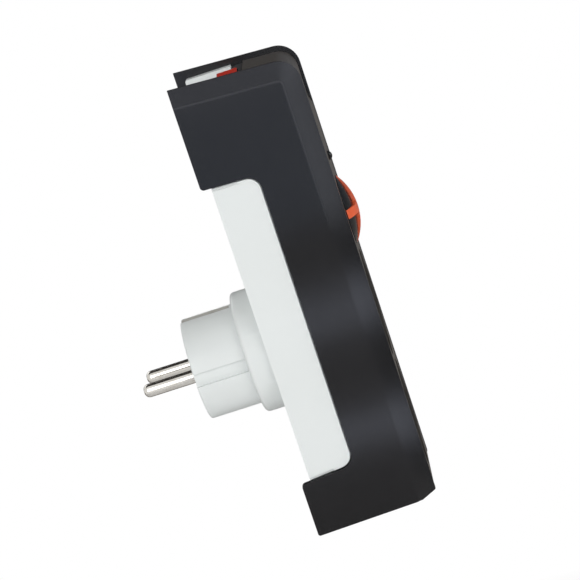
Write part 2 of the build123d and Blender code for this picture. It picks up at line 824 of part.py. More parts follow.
def contact_fork(x, z):
    """U-shaped spring contact round one pin's place."""
    start = shutter_rear() + shutter_peg_height + shutter_gap
    end = start + contact_length
    half = contact_gap / 2
    outer = half + contact_leaf
    fork = block((x - outer, x + outer), (start, end), (z - contact_width / 2 - contact_leaf,
                                                         z + contact_width / 2))
    fork -= block((x - half, x + half), (start - 1, end + 1), (z - contact_width / 2,
                                                               z + contact_width / 2 + 1))
    return fork


def bus_rail(side):
    """Bus bar with a forked contact for each socket, at x on the given side."""
    front, rear = rail_depths()
    heights = [height + side * contact_rise for height in socket_heights.values()]
    low = min(heights) - contact_width / 2
    high = max(heights) + contact_width / 2
    inner = rail_x()
    rail = block((side * inner, side * (inner + rail_thickness)), (front, rear), (low, high))
    for z in heights:
        rail += contact_fork(side * contact_reach, z)
    return rail


def neutral_rail():
    """Neutral bus bar, joined to its pin by a bent tab."""
    rear = rail_depths()[1]
    tail_end = -plug_face_thickness - pin_head_thickness - pin_tail_length
    inner = rail_x()
    rail = bus_rail(-1)
    rail += block((-inner, -inner - rail_thickness), (rear - 1, tail_end),
                  (-pin_tab_half_height, pin_tab_half_height))
    rail += block((-pin_spacing / 2 - pin_foot_half_width, -pin_spacing / 2 + pin_foot_half_width),
                  (tail_end - rail_thickness, tail_end), (-pin_tab_half_height, pin_tab_half_height))
    return rail


def earth_clip(height):
    """Earth contact of one recess: a base on the hub and two arms up the recess wall."""
    base_y = hub_top()
    half = earth_arm_width / 2
    outer = earth_arm_radius + earth_arm_thickness
    clip = block((-half, half), (base_y, base_y + earth_arm_thickness), (-outer, outer))
    arm_end = recess_floor - earth_arm_height
    for side in (-1, 1):
        arm = block((-half, half), (arm_end, base_y + earth_arm_thickness),
                    (side * earth_arm_radius, side * outer))
        clip += arm
        bump_y = recess_floor - earth_arm_height * 0.7
        bump_z = side * (earth_arm_radius + earth_arm_thickness / 2)
        bump_radius = earth_arm_thickness / 2 + earth_arm_bump
        bump = Pos(0, bump_y, bump_z) * Rot(0, 90, 0) * Cylinder(bump_radius, earth_arm_width)
        keep = block((-half, half), (arm_end, recess_floor - 1),
                     (side * (earth_arm_radius - earth_arm_bump - 1), side * outer))
        clip += bump & keep
    clip -= rod(small_screw_diameter / 2 + head_clearance, base_y - 1, base_y + earth_arm_thickness + 1)
    return around_socket(clip, height)


def peg_point():
    """Point (x, z) of the peg on a shutter's blade, beside its spring's moving leg."""
    reach = sqrt(shutter_peg_radius ** 2 - spring_mean_radius ** 2)
    aside = (shutter_peg_diameter + spring_wire) / 2 + fixed_clearance
    return off_coil(spring_end_angle - 90 * spring_quarters, -reach, aside)


def shutter(height):
    """Turning shutter: hub, one blade over each contact hole and the peg for its spring."""
    front = floor_back + shutter_gap
    rear = shutter_rear()
    blades = rod(shutter_blade_radius, front, rear)
    blades = blades & wedge_prism(shutter_blade_half_angle, shutter_blade_radius * 2, front - 1, rear + 1)
    body = blades + mirrored(blades) + rod(shutter_hub_radius, front, rear)
    peg_x, peg_z = peg_point()
    body += rod(shutter_peg_diameter / 2, rear - 0.5, rear + shutter_peg_height, peg_x, peg_z)
    body -= rod(hub_diameter / 2 + hub_running_clearance, front - 1, rear + 1)
    return around_socket(body, height)


def wedge_prism(half_angle, reach, y_start, y_end):
    """Wedge about the Y axis, opening along +X."""
    tip = Vector(reach * cos(radians(half_angle)), reach * sin(radians(half_angle)))
    sketch = Polygon((0, 0), (tip.X, -tip.Y), (tip.X, tip.Y), align=None)
    solid = extrude(Plane.XZ * sketch, (y_end - y_start) / 2, both=True)
    return Pos(0, (y_start + y_end) / 2, 0) * solid


def biarc(start, start_way, end, end_way):
    """Two arcs that leave start and reach end along unit directions."""
    gap = end - start
    along = gap.dot(start_way + end_way)
    spread = 2 * (start_way.dot(end_way) - 1)
    reach = (along - sqrt(along ** 2 - spread * gap.dot(gap))) / spread
    first = start + start_way * reach
    second = end - end_way * reach
    middle = (first + second) * 0.5
    return [Edge.make_tangent_arc(start, start_way, middle),
            Edge.make_tangent_arc(middle, (second - first).normalized(), end)]


def shutter_spring(height):
    """Torsion spring round a hub: its coil on quarter-turn biarcs and its fixed leg to the post."""
    low = coil_depths()[0]
    rise = spring_pitch / (2 * pi)
    length = sqrt(spring_mean_radius ** 2 + rise ** 2)
    start_angle = radians(spring_end_angle - 90 * spring_quarters)

    def place(quarter):
        turn = start_angle + quarter * pi / 2
        return Vector(spring_mean_radius * cos(turn), low + rise * quarter * pi / 2,
                      spring_mean_radius * sin(turn))

    def way(quarter):
        turn = start_angle + quarter * pi / 2
        return Vector(-spring_mean_radius * sin(turn), rise, spring_mean_radius * cos(turn)) / length

    edges = []
    for quarter in range(spring_quarters):
        edges += biarc(place(quarter), way(quarter), place(quarter + 1), way(quarter + 1))
    leg = way(spring_quarters) * (spring_leg_reach + 1.5)
    edges.append(Edge.make_line(place(spring_quarters), place(spring_quarters) + leg))
    section = Plane(origin=place(0), z_dir=way(0)) * Circle(spring_wire / 2)
    return around_socket(sweep(section, path=Wire(edges)), height)


def spring_leg(height):
    """Moving leg of a shutter's spring, that lies against the shutter's peg."""
    start_angle = spring_end_angle - 90 * spring_quarters
    reach = sqrt(shutter_peg_radius ** 2 - spring_mean_radius ** 2) + 1.0
    inner_x, inner_z = off_coil(start_angle, 0, 0)
    outer_x, outer_z = off_coil(start_angle, -reach, 0)
    start = Vector(inner_x, leg_depth(), inner_z)
    run = Vector(outer_x, leg_depth(), outer_z) - start
    leg = extrude(Plane(origin=start, z_dir=run) * Circle(spring_wire / 2), run.length)
    return around_socket(leg, height)


def shutter_rings():
    """Push-on rings that keep the shutters on their hubs."""
    start = ring_depth()
    rings = [rod(ring_diameter / 2, start, start + ring_thickness, 0, height)
             - rod(hub_diameter / 2 + fixed_clearance, start - 1, start + ring_thickness + 1, 0, height)
             for height in socket_heights.values()]
    return Compound(rings)


def earth_link():
    """Flat bar that joins the two earth clips and carries the earth lead."""
    start = hub_top() + earth_arm_thickness
    half = earth_arm_width / 2
    bar = block((-half, half), (start, start + earth_arm_thickness),
                (lower_socket_z - half, upper_socket_z + half))
    for height in socket_heights.values():
        bar -= rod(small_screw_diameter / 2 + head_clearance, start - 1,
                   start + earth_arm_thickness + 1, 0, height)
    return bar


def earth_screws():
    """Screws that hold the earth clips and their link to the hubs."""
    seat = hub_top() + 2 * earth_arm_thickness
    return Compound([screw(0, height, seat, 1, earth_screw_diameter, small_head_diameter,
                           small_head_height, earth_screw_reach) for height in socket_heights.values()])


def surge_board():
    """Circuit board of the surge protection, on the fascia's posts."""
    board = block((-board_half_width, board_half_width), (board_front, board_back),
                  (board_bottom, board_top()))
    for side in (-1, 1):
        for z in board_screw_heights():
            board -= rod(small_screw_diameter / 2 + head_clearance, board_front - 1, board_back + 1,
                         side * board_screw_x, z)
    return board


def varistor(number):
    """Disc varistor standing on the board on its two wires."""
    z = board_bottom + varistor_rise + number * varistor_pitch
    radius = varistor_diameter / 2
    centre_y = board_back + varistor_stand + radius
    disc = Pos(varistor_x, centre_y, z) * Cylinder(radius, varistor_thickness)
    disc = fillet(disc.edges().filter_by(GeomType.CIRCLE), varistor_thickness * 0.3)
    for side in (-1, 1):
        disc += rod(component_wire / 2, board_back, centre_y, varistor_x + side * radius / 2, z)
    return disc


def gas_tube():
    """Gas discharge tube with its two end caps."""
    z = board_bottom + gas_tube_rise
    radius = gas_tube_diameter / 2
    cap = gas_tube_length * 0.2
    centre_y = board_back + radius
    tube = Pos(gas_tube_x, centre_y, z) * Rot(0, 90, 0) * Cylinder(radius * 0.92, gas_tube_length)
    for side in (-1, 1):
        cap_x = gas_tube_x + side * (gas_tube_length - cap) / 2
        tube += Pos(cap_x, centre_y, z) * Rot(0, 90, 0) * Cylinder(radius, cap)
    return tube


def thermal_fuse():
    """Thermal cut-out that lies along the varistors, on its bent wires."""
    radius = fuse_diameter / 2
    x = varistor_x + varistor_diameter / 2 + radius + fuse_gap
    z = board_bottom + varistor_rise + varistor_pitch
    centre_y = board_back + radius + varistor_stand
    fuse = Pos(x, centre_y, z) * Cylinder(radius, fuse_length)
    wire_run = fuse_wire_reach + component_wire / 2
    for side in (-1, 1):
        wire_z = z + side * (fuse_length / 2 + fuse_wire_reach)
        run_z = z + side * (fuse_length + wire_run) / 2
        fuse += Pos(x, centre_y, run_z) * Cylinder(component_wire / 2, wire_run)
        fuse += rod(component_wire / 2, board_back, centre_y + component_wire / 2, x, wire_z)
    return fuse


def filter_capacitor():
    """Box capacitor of the mains filter."""
    z = board_bottom + capacitor_rise
    box = block((capacitor_x - capacitor_width / 2, capacitor_x + capacitor_width / 2),
                (board_back, board_back + capacitor_height),
                (z - capacitor_length / 2, z + capacitor_length / 2))
    return fillet(box.edges().filter_by(Axis.Y), capacitor_round)


def led_resistor():
    """Series resistor of the indicator, lying on the board."""
    z = board_bottom + resistor_rise
    radius = resistor_diameter / 2
    cap = resistor_length * 0.25
    centre_y = board_back + radius * 1.15
    body = Pos(resistor_x, centre_y, z) * Rot(0, 90, 0) * Cylinder(radius, resistor_length)
    for side in (-1, 1):
        cap_x = resistor_x + side * (resistor_length - cap) / 2
        body += Pos(cap_x, centre_y, z) * Rot(0, 90, 0) * Cylinder(radius * 1.15, cap)
    return body


def led():
    """Round indicator lamp on the board, behind the light pipe."""
    radius = led_diameter / 2
    body = rod(radius, board_front, board_front - led_height, 0, lens_z)
    body = fillet(body.edges().filter_by(GeomType.CIRCLE).sort_by(Axis.Y)[0], radius * 0.9)
    return body + rod(radius * 1.2, board_front, board_front - 1.0, 0, lens_z)


def cap_sphere(base_radius, rise, centre_z):
    """Ball whose cap of the given rise stands on a circle in the plane of the covers' front."""
    radius = (base_radius ** 2 + rise ** 2) / (2 * rise)
    return Pos(0, cover_front - rise + radius, centre_z) * Sphere(radius)


def led_lens():
    """Dark bump on the fascia with its flange and light pipe."""
    radius = lens_diameter / 2
    shank = rod(radius, cover_front, fascia_back, 0, lens_z)
    dome = cap_sphere(radius, lens_rise, lens_z) & rod(radius, cover_front - lens_rise - 1,
                                                       cover_front + 0.2, 0, lens_z)
    flange_end = fascia_back + lens_flange_thickness
    pipe_end = board_front - led_height - led_gap
    lens = dome + shank + rod(lens_flange_diameter / 2, fascia_back, flange_end, 0, lens_z)
    return lens + rod(light_pipe_diameter / 2, flange_end, pipe_end, 0, lens_z)


def stem_end():
    """Depth of the end of the button's stem at rest."""
    return push_switch_front - button_travel - 0.5


def switch_plunger():
    """Plunger of the push switch, seated in the button's stem."""
    plunger = rod(plunger_diameter / 2, stem_end() - plunger_seat, push_switch_front + plunger_entry,
                  0, button_z)
    return chamfer(plunger.edges().filter_by(GeomType.CIRCLE), 0.2)


def button_cap():
    """Domed black button: shell, retaining flange and the stem that works the switch."""
    dome_front = cover_front - button_rise
    skirt_end = fascia_back + button_flange_gap + button_flange_thickness
    bounds = rod(button_radius, dome_front - 1, skirt_end, 0, button_z)
    cap = bounds & (cap_sphere(button_radius, button_rise, button_z)
                    + rod(button_radius, cover_front, skirt_end, 0, button_z))
    cap += rod(button_flange_diameter / 2, fascia_back + button_flange_gap, skirt_end, 0, button_z)
    inner_radius = button_radius - button_wall
    inner_rise = button_rise * (inner_radius / button_radius) ** 2
    ball_radius = (inner_radius ** 2 + inner_rise ** 2) / (2 * inner_rise)
    inner_front = cover_front + button_wall
    hollow = rod(inner_radius, inner_front - inner_rise - 1, skirt_end + 1, 0, button_z) & (
        Pos(0, inner_front - inner_rise + ball_radius, button_z) * Sphere(ball_radius)
        + rod(inner_radius, inner_front, skirt_end + 1, 0, button_z))
    cap -= hollow
    cap += rod(stem_diameter / 2, inner_front - inner_rise - 0.3, stem_end(), 0, button_z)
    return cap - rod(plunger_diameter / 2 + fixed_clearance, stem_end() + 1, stem_end() - plunger_seat,
                     0, button_z)


def button_cross():
    """Orange cross of ribs that follows the dome, with rounded inner corners."""
    reach = button_radius - cross_edge_inset
    half = cross_rib_width / 2
    arms = Rectangle(2 * reach, cross_rib_width) + Rectangle(cross_rib_width, 2 * reach)
    inner = [vertex for vertex in arms.vertices()
             if abs(vertex.X) < half + 0.01 and abs(vertex.Y) < half + 0.01]
    arms = fillet(inner, cross_corner_radius)
    arms = arms & Circle(reach)
    front = cover_front - cross_rise - 1
    prism = Pos(0, front, button_z) * extrude(Plane.XZ * arms, -(cross_rise + 1.5))
    ribs = prism & cap_sphere(button_radius, cross_rise, button_z)
    return ribs - cap_sphere(button_radius, button_rise, button_z)


def push_switch():
    """Push switch on the board behind the button."""
    half = push_switch_size / 2
    body = block((-half, half), (push_switch_front, board_front), (button_z - half, button_z + half))
    body = fillet(body.edges().filter_by(Axis.Y), 1.0)
    hole = plunger_diameter / 2 + plunger_clearance
    return body - rod(hole, push_switch_front - 1, push_switch_front + plunger_entry + button_travel + 0.5,
                      0, button_z)


def rocker_centre():
    """Depth and height of the rocker's pivot."""
    y = fascia_rear + rocker_front_gap + rocker_width / 2
    return y, housing_top() - rocker_sink - rocker_pivot_depth


def rocker_cap():
    """Red rocker with a shallow valley, at rest with one end up."""
    y, z = rocker_centre()
    half = rocker_half_length
    foot = rocker_foot_half
    skirt = rocker_end_height / 10
    profile = Polygon((-half, skirt), (-half, rocker_end_height), (0, rocker_middle_height),
                      (half, rocker_end_height), (half, skirt), (foot, -foot), (-foot, -foot), align=None)
    ends = [nearest_vertex(profile, (side * half, rocker_end_height)) for side in (-1, 1)]
    profile = fillet(ends, rocker_end_round)
    cap = extrude(Plane.XZ * profile, rocker_width / 2, both=True)
    cap -= rod(rocker_pivot_diameter / 2 + fixed_clearance, -rocker_width, rocker_width)
    return Pos(0, y, z) * Rot(0, -rocker_tilt, 0) * cap


def rocker_body():
    """Black switch body under the rocker, with its flange in the seam and the pivot pin."""
    y, z = rocker_centre()
    gap = rocker_clearance
    wall = rocker_body_wall
    half = rocker_half_length + rocker_end_clearance
    half_y = rocker_width / 2 + gap
    seat_top = housing_top() - rocker_flange_recess
    flange_low = seat_top - rocker_flange_thickness
    side_top = housing_top() - top_channel_depth - end_wall - gap
    body = block((-half - wall, half + wall), (y - half_y - wall, y + half_y + wall),
                 (z - rocker_body_depth, side_top))
    body += block((-rocker_flange_half_length, rocker_flange_half_length),
                  (fascia_rear + gap, housing_top_end - gap), (flange_low, seat_top))
    body += block((-half - wall, half + wall), (fascia_rear + gap, housing_top_end - gap),
                  (side_top - 1, flange_low + 0.5))
    body -= block((-half, half), (y - half_y, y + half_y), (z - rocker_well_depth, seat_top + end_wall))
    body += rod(rocker_pivot_diameter / 2, y - half_y - 0.1, y + half_y + 0.1, 0, z)
    return body


def rocker_terminals():
    """The three blade terminals under the switch body."""
    y, z = rocker_centre()
    low = z - rocker_body_depth
    blades = [block((x - terminal_width / 2, x + terminal_width / 2),
                    (y - terminal_thickness / 2, y + terminal_thickness / 2), (low - terminal_length, low))
              for x in (-terminal_pitch, 0, terminal_pitch)]
    return Compound(blades)


def rocker_lamp():
    """Glow lamp in the switch body that lights the rocker from below."""
    y, z = rocker_centre()
    bottom = z - rocker_well_depth
    lamp = Pos(0, y, bottom + lamp_height / 2) * Cylinder(lamp_diameter / 2, lamp_height)
    return fillet(lamp.edges().filter_by(GeomType.CIRCLE).sort_by(Axis.Z)[-1], lamp_height / 4)


def lead(points, radius):
    """Insulated wire along straight runs joined by arcs."""
    path = FilletPolyline(*points, radius=lead_bend)
    start_way = Vector(*points[1]) - Vector(*points[0])
    section = Plane(origin=points[0], z_dir=start_way) * Circle(radius)
    return sweep(section, path=path)


def terminal_end():
    """Depth and height of the lower end of the rocker switch's terminals."""
    y, z = rocker_centre()
    return y, z - rocker_body_depth - terminal_length


def live_lead():
    """Lead from the live pin to the rocker switch."""
    y, z = terminal_end()
    tail = -plug_face_thickness - pin_head_thickness - pin_tail_length
    x = pin_spacing / 2
    side = inner_half - live_lead_inset
    run_y = flange_back - flange_head_height - lead_diameter
    return lead([(x, tail, 0), (x, tail - lead_start, 0), (side, run_y, live_lead_rise),
                 (side, run_y, z - live_lead_turn), (terminal_pitch, y, z - live_lead_drop),
                 (terminal_pitch, y, z)], lead_diameter / 2)


def switched_lead():
    """Lead from the rocker switch to the live bus bar."""
    y, z = terminal_end()
    front, rear = rail_depths()
    middle = (front + rear) / 2
    rail_middle = rail_x() + rail_thickness / 2
    rail_top = upper_socket_z + contact_rise + contact_width / 2
    return lead([(0, y, z), (0, y, z - switched_lead_drop),
                 (switched_lead_x, middle, z - switched_lead_bend),
                 (switched_lead_x, middle, board_bottom - lead_board_gap),
                 (rail_middle, middle, rail_top + switched_lead_end),
                 (rail_middle, middle, rail_top)], lead_diameter / 2)


def neutral_lead():
    """Lead from the neutral bus bar to the rocker switch."""
    y, z = terminal_end()
    rear = rail_depths()[1]
    rail_middle = -rail_x() - rail_thickness / 2
    side = neutral_lead_inset - inner_half
    return lead([(-terminal_pitch, y, z), (-terminal_pitch, y, z - lead_start),
                 (side, rear - 1, z - neutral_lead_bend),
                 (side, rear - 1, board_bottom - lead_board_gap),
                 (rail_middle, rear, pin_tab_half_height + neutral_lead_end),
                 (rail_middle, rear, pin_tab_half_height)], lead_diameter / 2)


def earth_lead():
    """Lead from the plug's earth strap to the link between the earth clips."""
    strap = -plug_face_thickness - 1 - earth_strap_thickness
    link = hub_top() + 2 * earth_arm_thickness
    return lead([(0, strap, -earth_lead_drop), (0, strap - earth_lead_start, -earth_lead_drop),
                 (0, link + lead_start, -earth_link_drop), (0, link, -earth_link_drop)],
                lead_diameter / 2)


def main():
    """Build every piece and write one file for each node."""
    left = side_cover()
    parts["side_cover_left"] = left
    parts["side_cover_right"] = mirrored(left)
    parts["rear_housing"] = rear_housing()
    parts["front_fascia"] = front_fascia()
    parts["housing_screws"] = housing_screws()
    parts["flange_screws"] = flange_screws()
    parts["insert_screws"] = small_screws([(x * insert_screw_x, z) for x in (-1, 1)
                                           for z in insert_screw_heights], floor_back, 1)
    parts["board_screws"] = small_screws([(x * board_screw_x, z) for x in (-1, 1)
                                          for z in board_screw_heights()], board_back, 1)
    parts["earth_screws"] = earth_screws()
    parts["plug_body"] = plug_body()
    parts["pin_live"] = plug_pin(1)
    parts["pin_neutral"] = plug_pin(-1)
    parts["plug_earth_strap"] = plug_earth_strap()
    parts["socket_insert"] = socket_insert()
    for name, height in socket_heights.items():
        parts["earth_clip_" + name] = earth_clip(height)
        parts["shutter_" + name] = shutter(height)
        parts["shutter_spring_" + name] = shutter_spring(height)
        parts["spring_leg_" + name] = spring_leg(height)
    parts["shutter_rings"] = shutter_rings()
    parts["live_rail"] = bus_rail(1)
    parts["neutral_rail"] = neutral_rail()
    parts["earth_link"] = earth_link()
    parts["surge_board"] = surge_board()
    for number in range(3):
        parts["varistor_" + str(number + 1)] = varistor(number)
    parts["gas_tube"] = gas_tube()
    parts["thermal_fuse"] = thermal_fuse()
    parts["filter_capacitor"] = filter_capacitor()
    parts["led_resistor"] = led_resistor()
    parts["led"] = led()
    parts["led_lens"] = led_lens()
    parts["button_cap"] = button_cap()
    parts["button_cross"] = button_cross()
    parts["push_switch"] = push_switch()
    parts["switch_plunger"] = switch_plunger()
    parts["rocker_cap"] = rocker_cap()
    parts["rocker_body"] = rocker_body()
    parts["rocker_terminals"] = rocker_terminals()
    parts["rocker_lamp"] = rocker_lamp()
    parts["live_lead"] = live_lead()
    parts["switched_lead"] = switched_lead()
    parts["neutral_lead"] = neutral_lead()
    parts["earth_lead"] = earth_lead()
    print("shutter spring's least gap to itself", round(spring_pitch - spring_wire, 2))
    os.makedirs("parts", exist_ok=True)
    for name, shape in parts.items():
        export_step(shape, "parts/" + name + ".step")


main()
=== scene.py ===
"""Finishes, softened edges and studio for the double surge protector plug, in metres in the CAD frame."""

import logging
from dataclasses import dataclass, field
from enum import Enum
from math import pi, radians
from typing import Any

import bmesh
import bpy
from mathutils import Matrix, Vector


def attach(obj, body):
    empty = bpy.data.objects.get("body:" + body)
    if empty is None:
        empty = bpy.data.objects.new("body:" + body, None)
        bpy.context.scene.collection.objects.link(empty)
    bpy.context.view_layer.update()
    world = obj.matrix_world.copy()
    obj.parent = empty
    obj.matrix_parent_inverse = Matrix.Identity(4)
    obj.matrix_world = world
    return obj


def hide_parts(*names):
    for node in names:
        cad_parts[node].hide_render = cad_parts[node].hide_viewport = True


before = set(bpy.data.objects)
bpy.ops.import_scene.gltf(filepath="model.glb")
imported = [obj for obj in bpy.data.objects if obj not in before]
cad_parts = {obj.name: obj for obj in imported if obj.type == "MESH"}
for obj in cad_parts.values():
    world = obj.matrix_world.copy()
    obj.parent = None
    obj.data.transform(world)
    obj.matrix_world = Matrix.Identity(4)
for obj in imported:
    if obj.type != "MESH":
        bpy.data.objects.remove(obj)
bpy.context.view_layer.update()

Colour = tuple[float, float, float]
Point = tuple[float, float, float]
Stretch = tuple[float, float, float]
EVEN: Stretch = (1.0, 1.0, 1.0)
PLAIN_WHITE: Colour = (1.0, 1.0, 1.0)
NOISE_MIDDLE = 0.5
MILLIMETRES = 1000.0
report = logging.getLogger("surge_plug")


class Run(Enum):
    """Axis that a metal's drawn, rolled or turned lines follow, as the stretch of its pattern."""

    ALONG_X = (0.04, 1.0, 1.0)
    ALONG_Y = (1.0, 0.04, 1.0)
    ALONG_Z = (1.0, 1.0, 0.04)
    ROUND_Y = (0.02, 1.0, 0.02)


class Value:
    """A number socket that takes part in arithmetic, where each operation adds a Math node."""

    def __init__(self, graph: "Graph", socket: bpy.types.NodeSocket) -> None:
        """Wrap a socket.

        Args:
            graph: The node graph that the socket is in.
            socket: The output socket.
        """
        self.graph = graph
        self.socket = socket

    def _math(self, operation: str, first: Any, second: Any) -> "Value":
        """Add one Math node and return its result."""
        node = self.graph.add("ShaderNodeMath", {"operation": operation}, {0: first, 1: second})
        return Value(self.graph, node.outputs[0])

    def __add__(self, other: "float | Value") -> "Value":
        """Sum."""
        return self._math("ADD", self, other)

    def __radd__(self, other: float) -> "Value":
        """Sum, with the number first."""
        return self._math("ADD", other, self)

    def __sub__(self, other: "float | Value") -> "Value":
        """Difference."""
        return self._math("SUBTRACT", self, other)

    def __rsub__(self, other: float) -> "Value":
        """Difference, with the number first."""
        return self._math("SUBTRACT", other, self)

    def __mul__(self, other: "float | Value") -> "Value":
        """Product."""
        return self._math("MULTIPLY", self, other)

    def __rmul__(self, other: float) -> "Value":
        """Product, with the number first."""
        return self._math("MULTIPLY", other, self)

    def __gt__(self, other: "float | Value") -> "Value":
        """One where the value is greater, otherwise zero."""
        return self._math("GREATER_THAN", self, other)

    def __abs__(self) -> "Value":
        """Distance from zero."""
        return self.at_least(self * -1.0)

    def at_least(self, other: "float | Value") -> "Value":
        """The larger of two values."""
        return self._math("MAXIMUM", self, other)

    def at_most(self, other: "float | Value") -> "Value":
        """The smaller of two values."""
        return self._math("MINIMUM", self, other)

    def clipped(self) -> "Value":
        """The value kept between 0 and 1."""
        return self.at_least(0.0).at_most(1.0)

    def share(self, start: float, end: float) -> "Value":
        """How far the value is on the way from one number to another, kept between 0 and 1.

        Args:
            start: The number that gives 0.
            end: The number that gives 1.

        Returns:
            The share.
        """
        return ((self - start) * (1.0 / (end - start))).clipped()


class Graph:
    """The node tree of one material or world, with short ways to add to it."""

    flat_pointiness = 0.5
    edge_gain = 6.0
    crest_fall = 1.05
    mix_share = 0
    mix_first = 6
    mix_second = 7
    mix_result = 2

    def __init__(self, tree: bpy.types.NodeTree) -> None:
        """Start from an empty tree.

        Args:
            tree: The node tree, which is cleared.
        """
        self.tree = tree
        tree.nodes.clear()

    def add(self, kind: str, settings: dict[str, Any] | None = None,
            sockets: dict[Any, Any] | None = None) -> bpy.types.Node:
        """Add a node, set it up and fill its sockets.

        Args:
            kind: The node's type name.
            settings: Properties of the node; "stops" holds a colour ramp's (position, colour) pairs.
            sockets: Input sockets by name or number, each with a value, a socket or a Value.

        Returns:
            The new node.
        """
        node = self.tree.nodes.new(kind)
        for name, setting in (settings or {}).items():
            if name == "stops":
                self.fill_ramp(node.color_ramp.elements, setting)
            else:
                setattr(node, name, setting)
        for name, value in (sockets or {}).items():
            socket = node.inputs[name]
            if isinstance(value, Value):
                self.tree.links.new(value.socket, socket)
            elif isinstance(value, bpy.types.NodeSocket):
                self.tree.links.new(value, socket)
            elif isinstance(value, tuple) and socket.type == "RGBA":
                socket.default_value = (*value, 1.0)
            else:
                socket.default_value = value
        return node

    @staticmethod
    def fill_ramp(elements: bpy.types.ColorRampElements, stops: list[tuple[float, Colour]]) -> None:
        """Give a colour ramp its stops.

        Args:
            elements: The ramp's elements, two at first.
            stops: Position and colour of each stop, from the lowest to the highest.
        """
        while len(elements) < len(stops):
            elements.new(0.5)
        for element, (position, colour) in zip(elements, stops):
            element.position = position
            element.color = (*colour, 1.0)

    def place(self, stretch: Stretch = EVEN) -> bpy.types.NodeSocket:
        """Point on the piece in metres, in the CAD frame, with each axis scaled.

        Args:
            stretch: Scale of each axis.

        Returns:
            The point's socket.
        """
        coordinate = self.add("ShaderNodeTexCoord").outputs["Object"]
        if stretch == EVEN:
            return coordinate
        return self.add("ShaderNodeMapping", None, {"Vector": coordinate, "Scale": stretch}).outputs[0]

    def noise(self, scale: float, detail: float = 2.0, stretch: Stretch = EVEN) -> Value:
        """Soft noise between 0 and 1.

        Args:
            scale: Features per metre.
            detail: How many finer layers it has.
            stretch: Scale of each axis.

        Returns:
            The noise value.
        """
        sockets = {"Vector": self.place(stretch), "Scale": scale, "Detail": detail}
        return Value(self, self.add("ShaderNodeTexNoise", None, sockets).outputs[0])

    def cells(self, scale: float) -> Value:
        """Distance to the nearest of many scattered points, in units of their spacing."""
        sockets = {"Vector": self.place(), "Scale": scale}
        return Value(self, self.add("ShaderNodeTexVoronoi", None, sockets).outputs["Distance"])

    def axis(self, letter: str) -> Value:
        """One coordinate of the point on the piece, in metres."""
        return Value(self, self.add("ShaderNodeSeparateXYZ", None, {0: self.place()}).outputs[letter])

    def edges(self) -> Value:
        """How far the surface bulges, zero on flats and near 1 on sharp outer edges."""
        point = Value(self, self.add("ShaderNodeNewGeometry").outputs["Pointiness"])
        return ((point - self.flat_pointiness) * self.edge_gain).clipped()

    def crest_highlight(self, lean: float) -> Value:
        """One along a ridge between a face square to X and a leaning one, zero on both faces; it places a
        painted highlight.

        Args:
            lean: One less the X part of the normal at the top of the ridge.

        Returns:
            The share.
        """
        normal = self.add("ShaderNodeNewGeometry").outputs["Normal"]
        across = Value(self, self.add("ShaderNodeSeparateXYZ", None, {0: normal}).outputs["X"])
        off = (1.0 - abs(across)) * (1.0 / lean) - 1.0
        return (1.0 - abs(off) * self.crest_fall).at_least(0.0)

    def blend(self, share: Value, first: Any, second: Any) -> bpy.types.NodeSocket:
        """Colour between two colours.

        Args:
            share: How much of the second colour there is, from 0 to 1.
            first: A colour or a colour socket.
            second: A colour or a colour socket.

        Returns:
            The mixed colour's socket.
        """
        sockets = {self.mix_share: share, self.mix_first: first, self.mix_second: second}
        return self.add("ShaderNodeMix", {"data_type": "RGBA"}, sockets).outputs[self.mix_result]

    def bump(self, height: Value, depth: float, below: Any = None) -> bpy.types.NodeSocket:
        """Normal of a surface that rises with a height value.

        Args:
            height: Height between 0 and 1.
            depth: Metres that a height of 1 stands for.
            below: The normal of a coarser bump, if there is one.

        Returns:
            The normal's socket.
        """
        sockets = {"Height": height, "Distance": depth, "Strength": 1.0}
        if below is not None:
            sockets["Normal"] = below
        return self.add("ShaderNodeBump", None, sockets).outputs[0]

    def ray(self, name: str) -> Value:
        """One where the light path's ray is of the named kind, otherwise zero."""
        return Value(self, self.add("ShaderNodeLightPath").outputs[name])

    def seen(self) -> Value:
        """One where the camera, gloss or glass sees the surface, otherwise zero."""
        gloss = self.ray("Is Glossy Ray").at_least(self.ray("Is Transmission Ray"))
        return self.ray("Is Camera Ray").at_least(gloss)

    def glow(self, tone: Any, strength: Any) -> bpy.types.NodeSocket:
        """A shader that gives light of a colour."""
        return self.add("ShaderNodeEmission", None, {"Color": tone, "Strength": strength}).outputs[0]

    def finish_mixed(self, share: Value, first: bpy.types.NodeSocket, second: bpy.types.NodeSocket) -> None:
        """Finish the tree with two mixed shaders.

        Args:
            share: How much of the second shader there is, from 0 to 1.
            first: A shader's socket.
            second: A shader's socket.
        """
        mixed = self.add("ShaderNodeMixShader", None, {0: share, 1: first, 2: second})
        self.add("ShaderNodeOutputMaterial", None, {"Surface": mixed.outputs[0]})

    def surface(self, **sockets: Any) -> None:
        """Finish the tree with a Principled surface.

        Args:
            sockets: Values by the socket's name, with _ for a space.
        """
        named = {name.replace("_", " "): value for name, value in sockets.items()}
        shader = self.add("ShaderNodeBsdfPrincipled", None, named)
        self.add("ShaderNodeOutputMaterial", None, {"Surface": shader.outputs[0]})


def scaled(colour: Colour, factor: float) -> Colour:
    """A colour made brighter or darker."""
    red, green, blue = colour
    return factor * red, factor * green, factor * blue


@dataclass(frozen=True)
class Finish:
    """What every finish has: a name and the way to make its material."""

    name: str

    def shade(self, graph: Graph) -> None:
        """Fill a material's tree."""
        raise NotImplementedError

    def material(self) -> bpy.types.Material:
        """The finish's material, made once and then shared.

        Returns:
            The material.
        """
        found = bpy.data.materials.get(self.name)
        if found is not None:
            return found
        made = bpy.data.materials.new(self.name)
        made.use_nodes = True
        self.shade(Graph(made.node_tree))
        return made

    def dress(self, piece: bpy.types.Object) -> None:
        """Give a piece this finish alone."""
        piece.data.materials.clear()
        piece.data.materials.append(self.material())


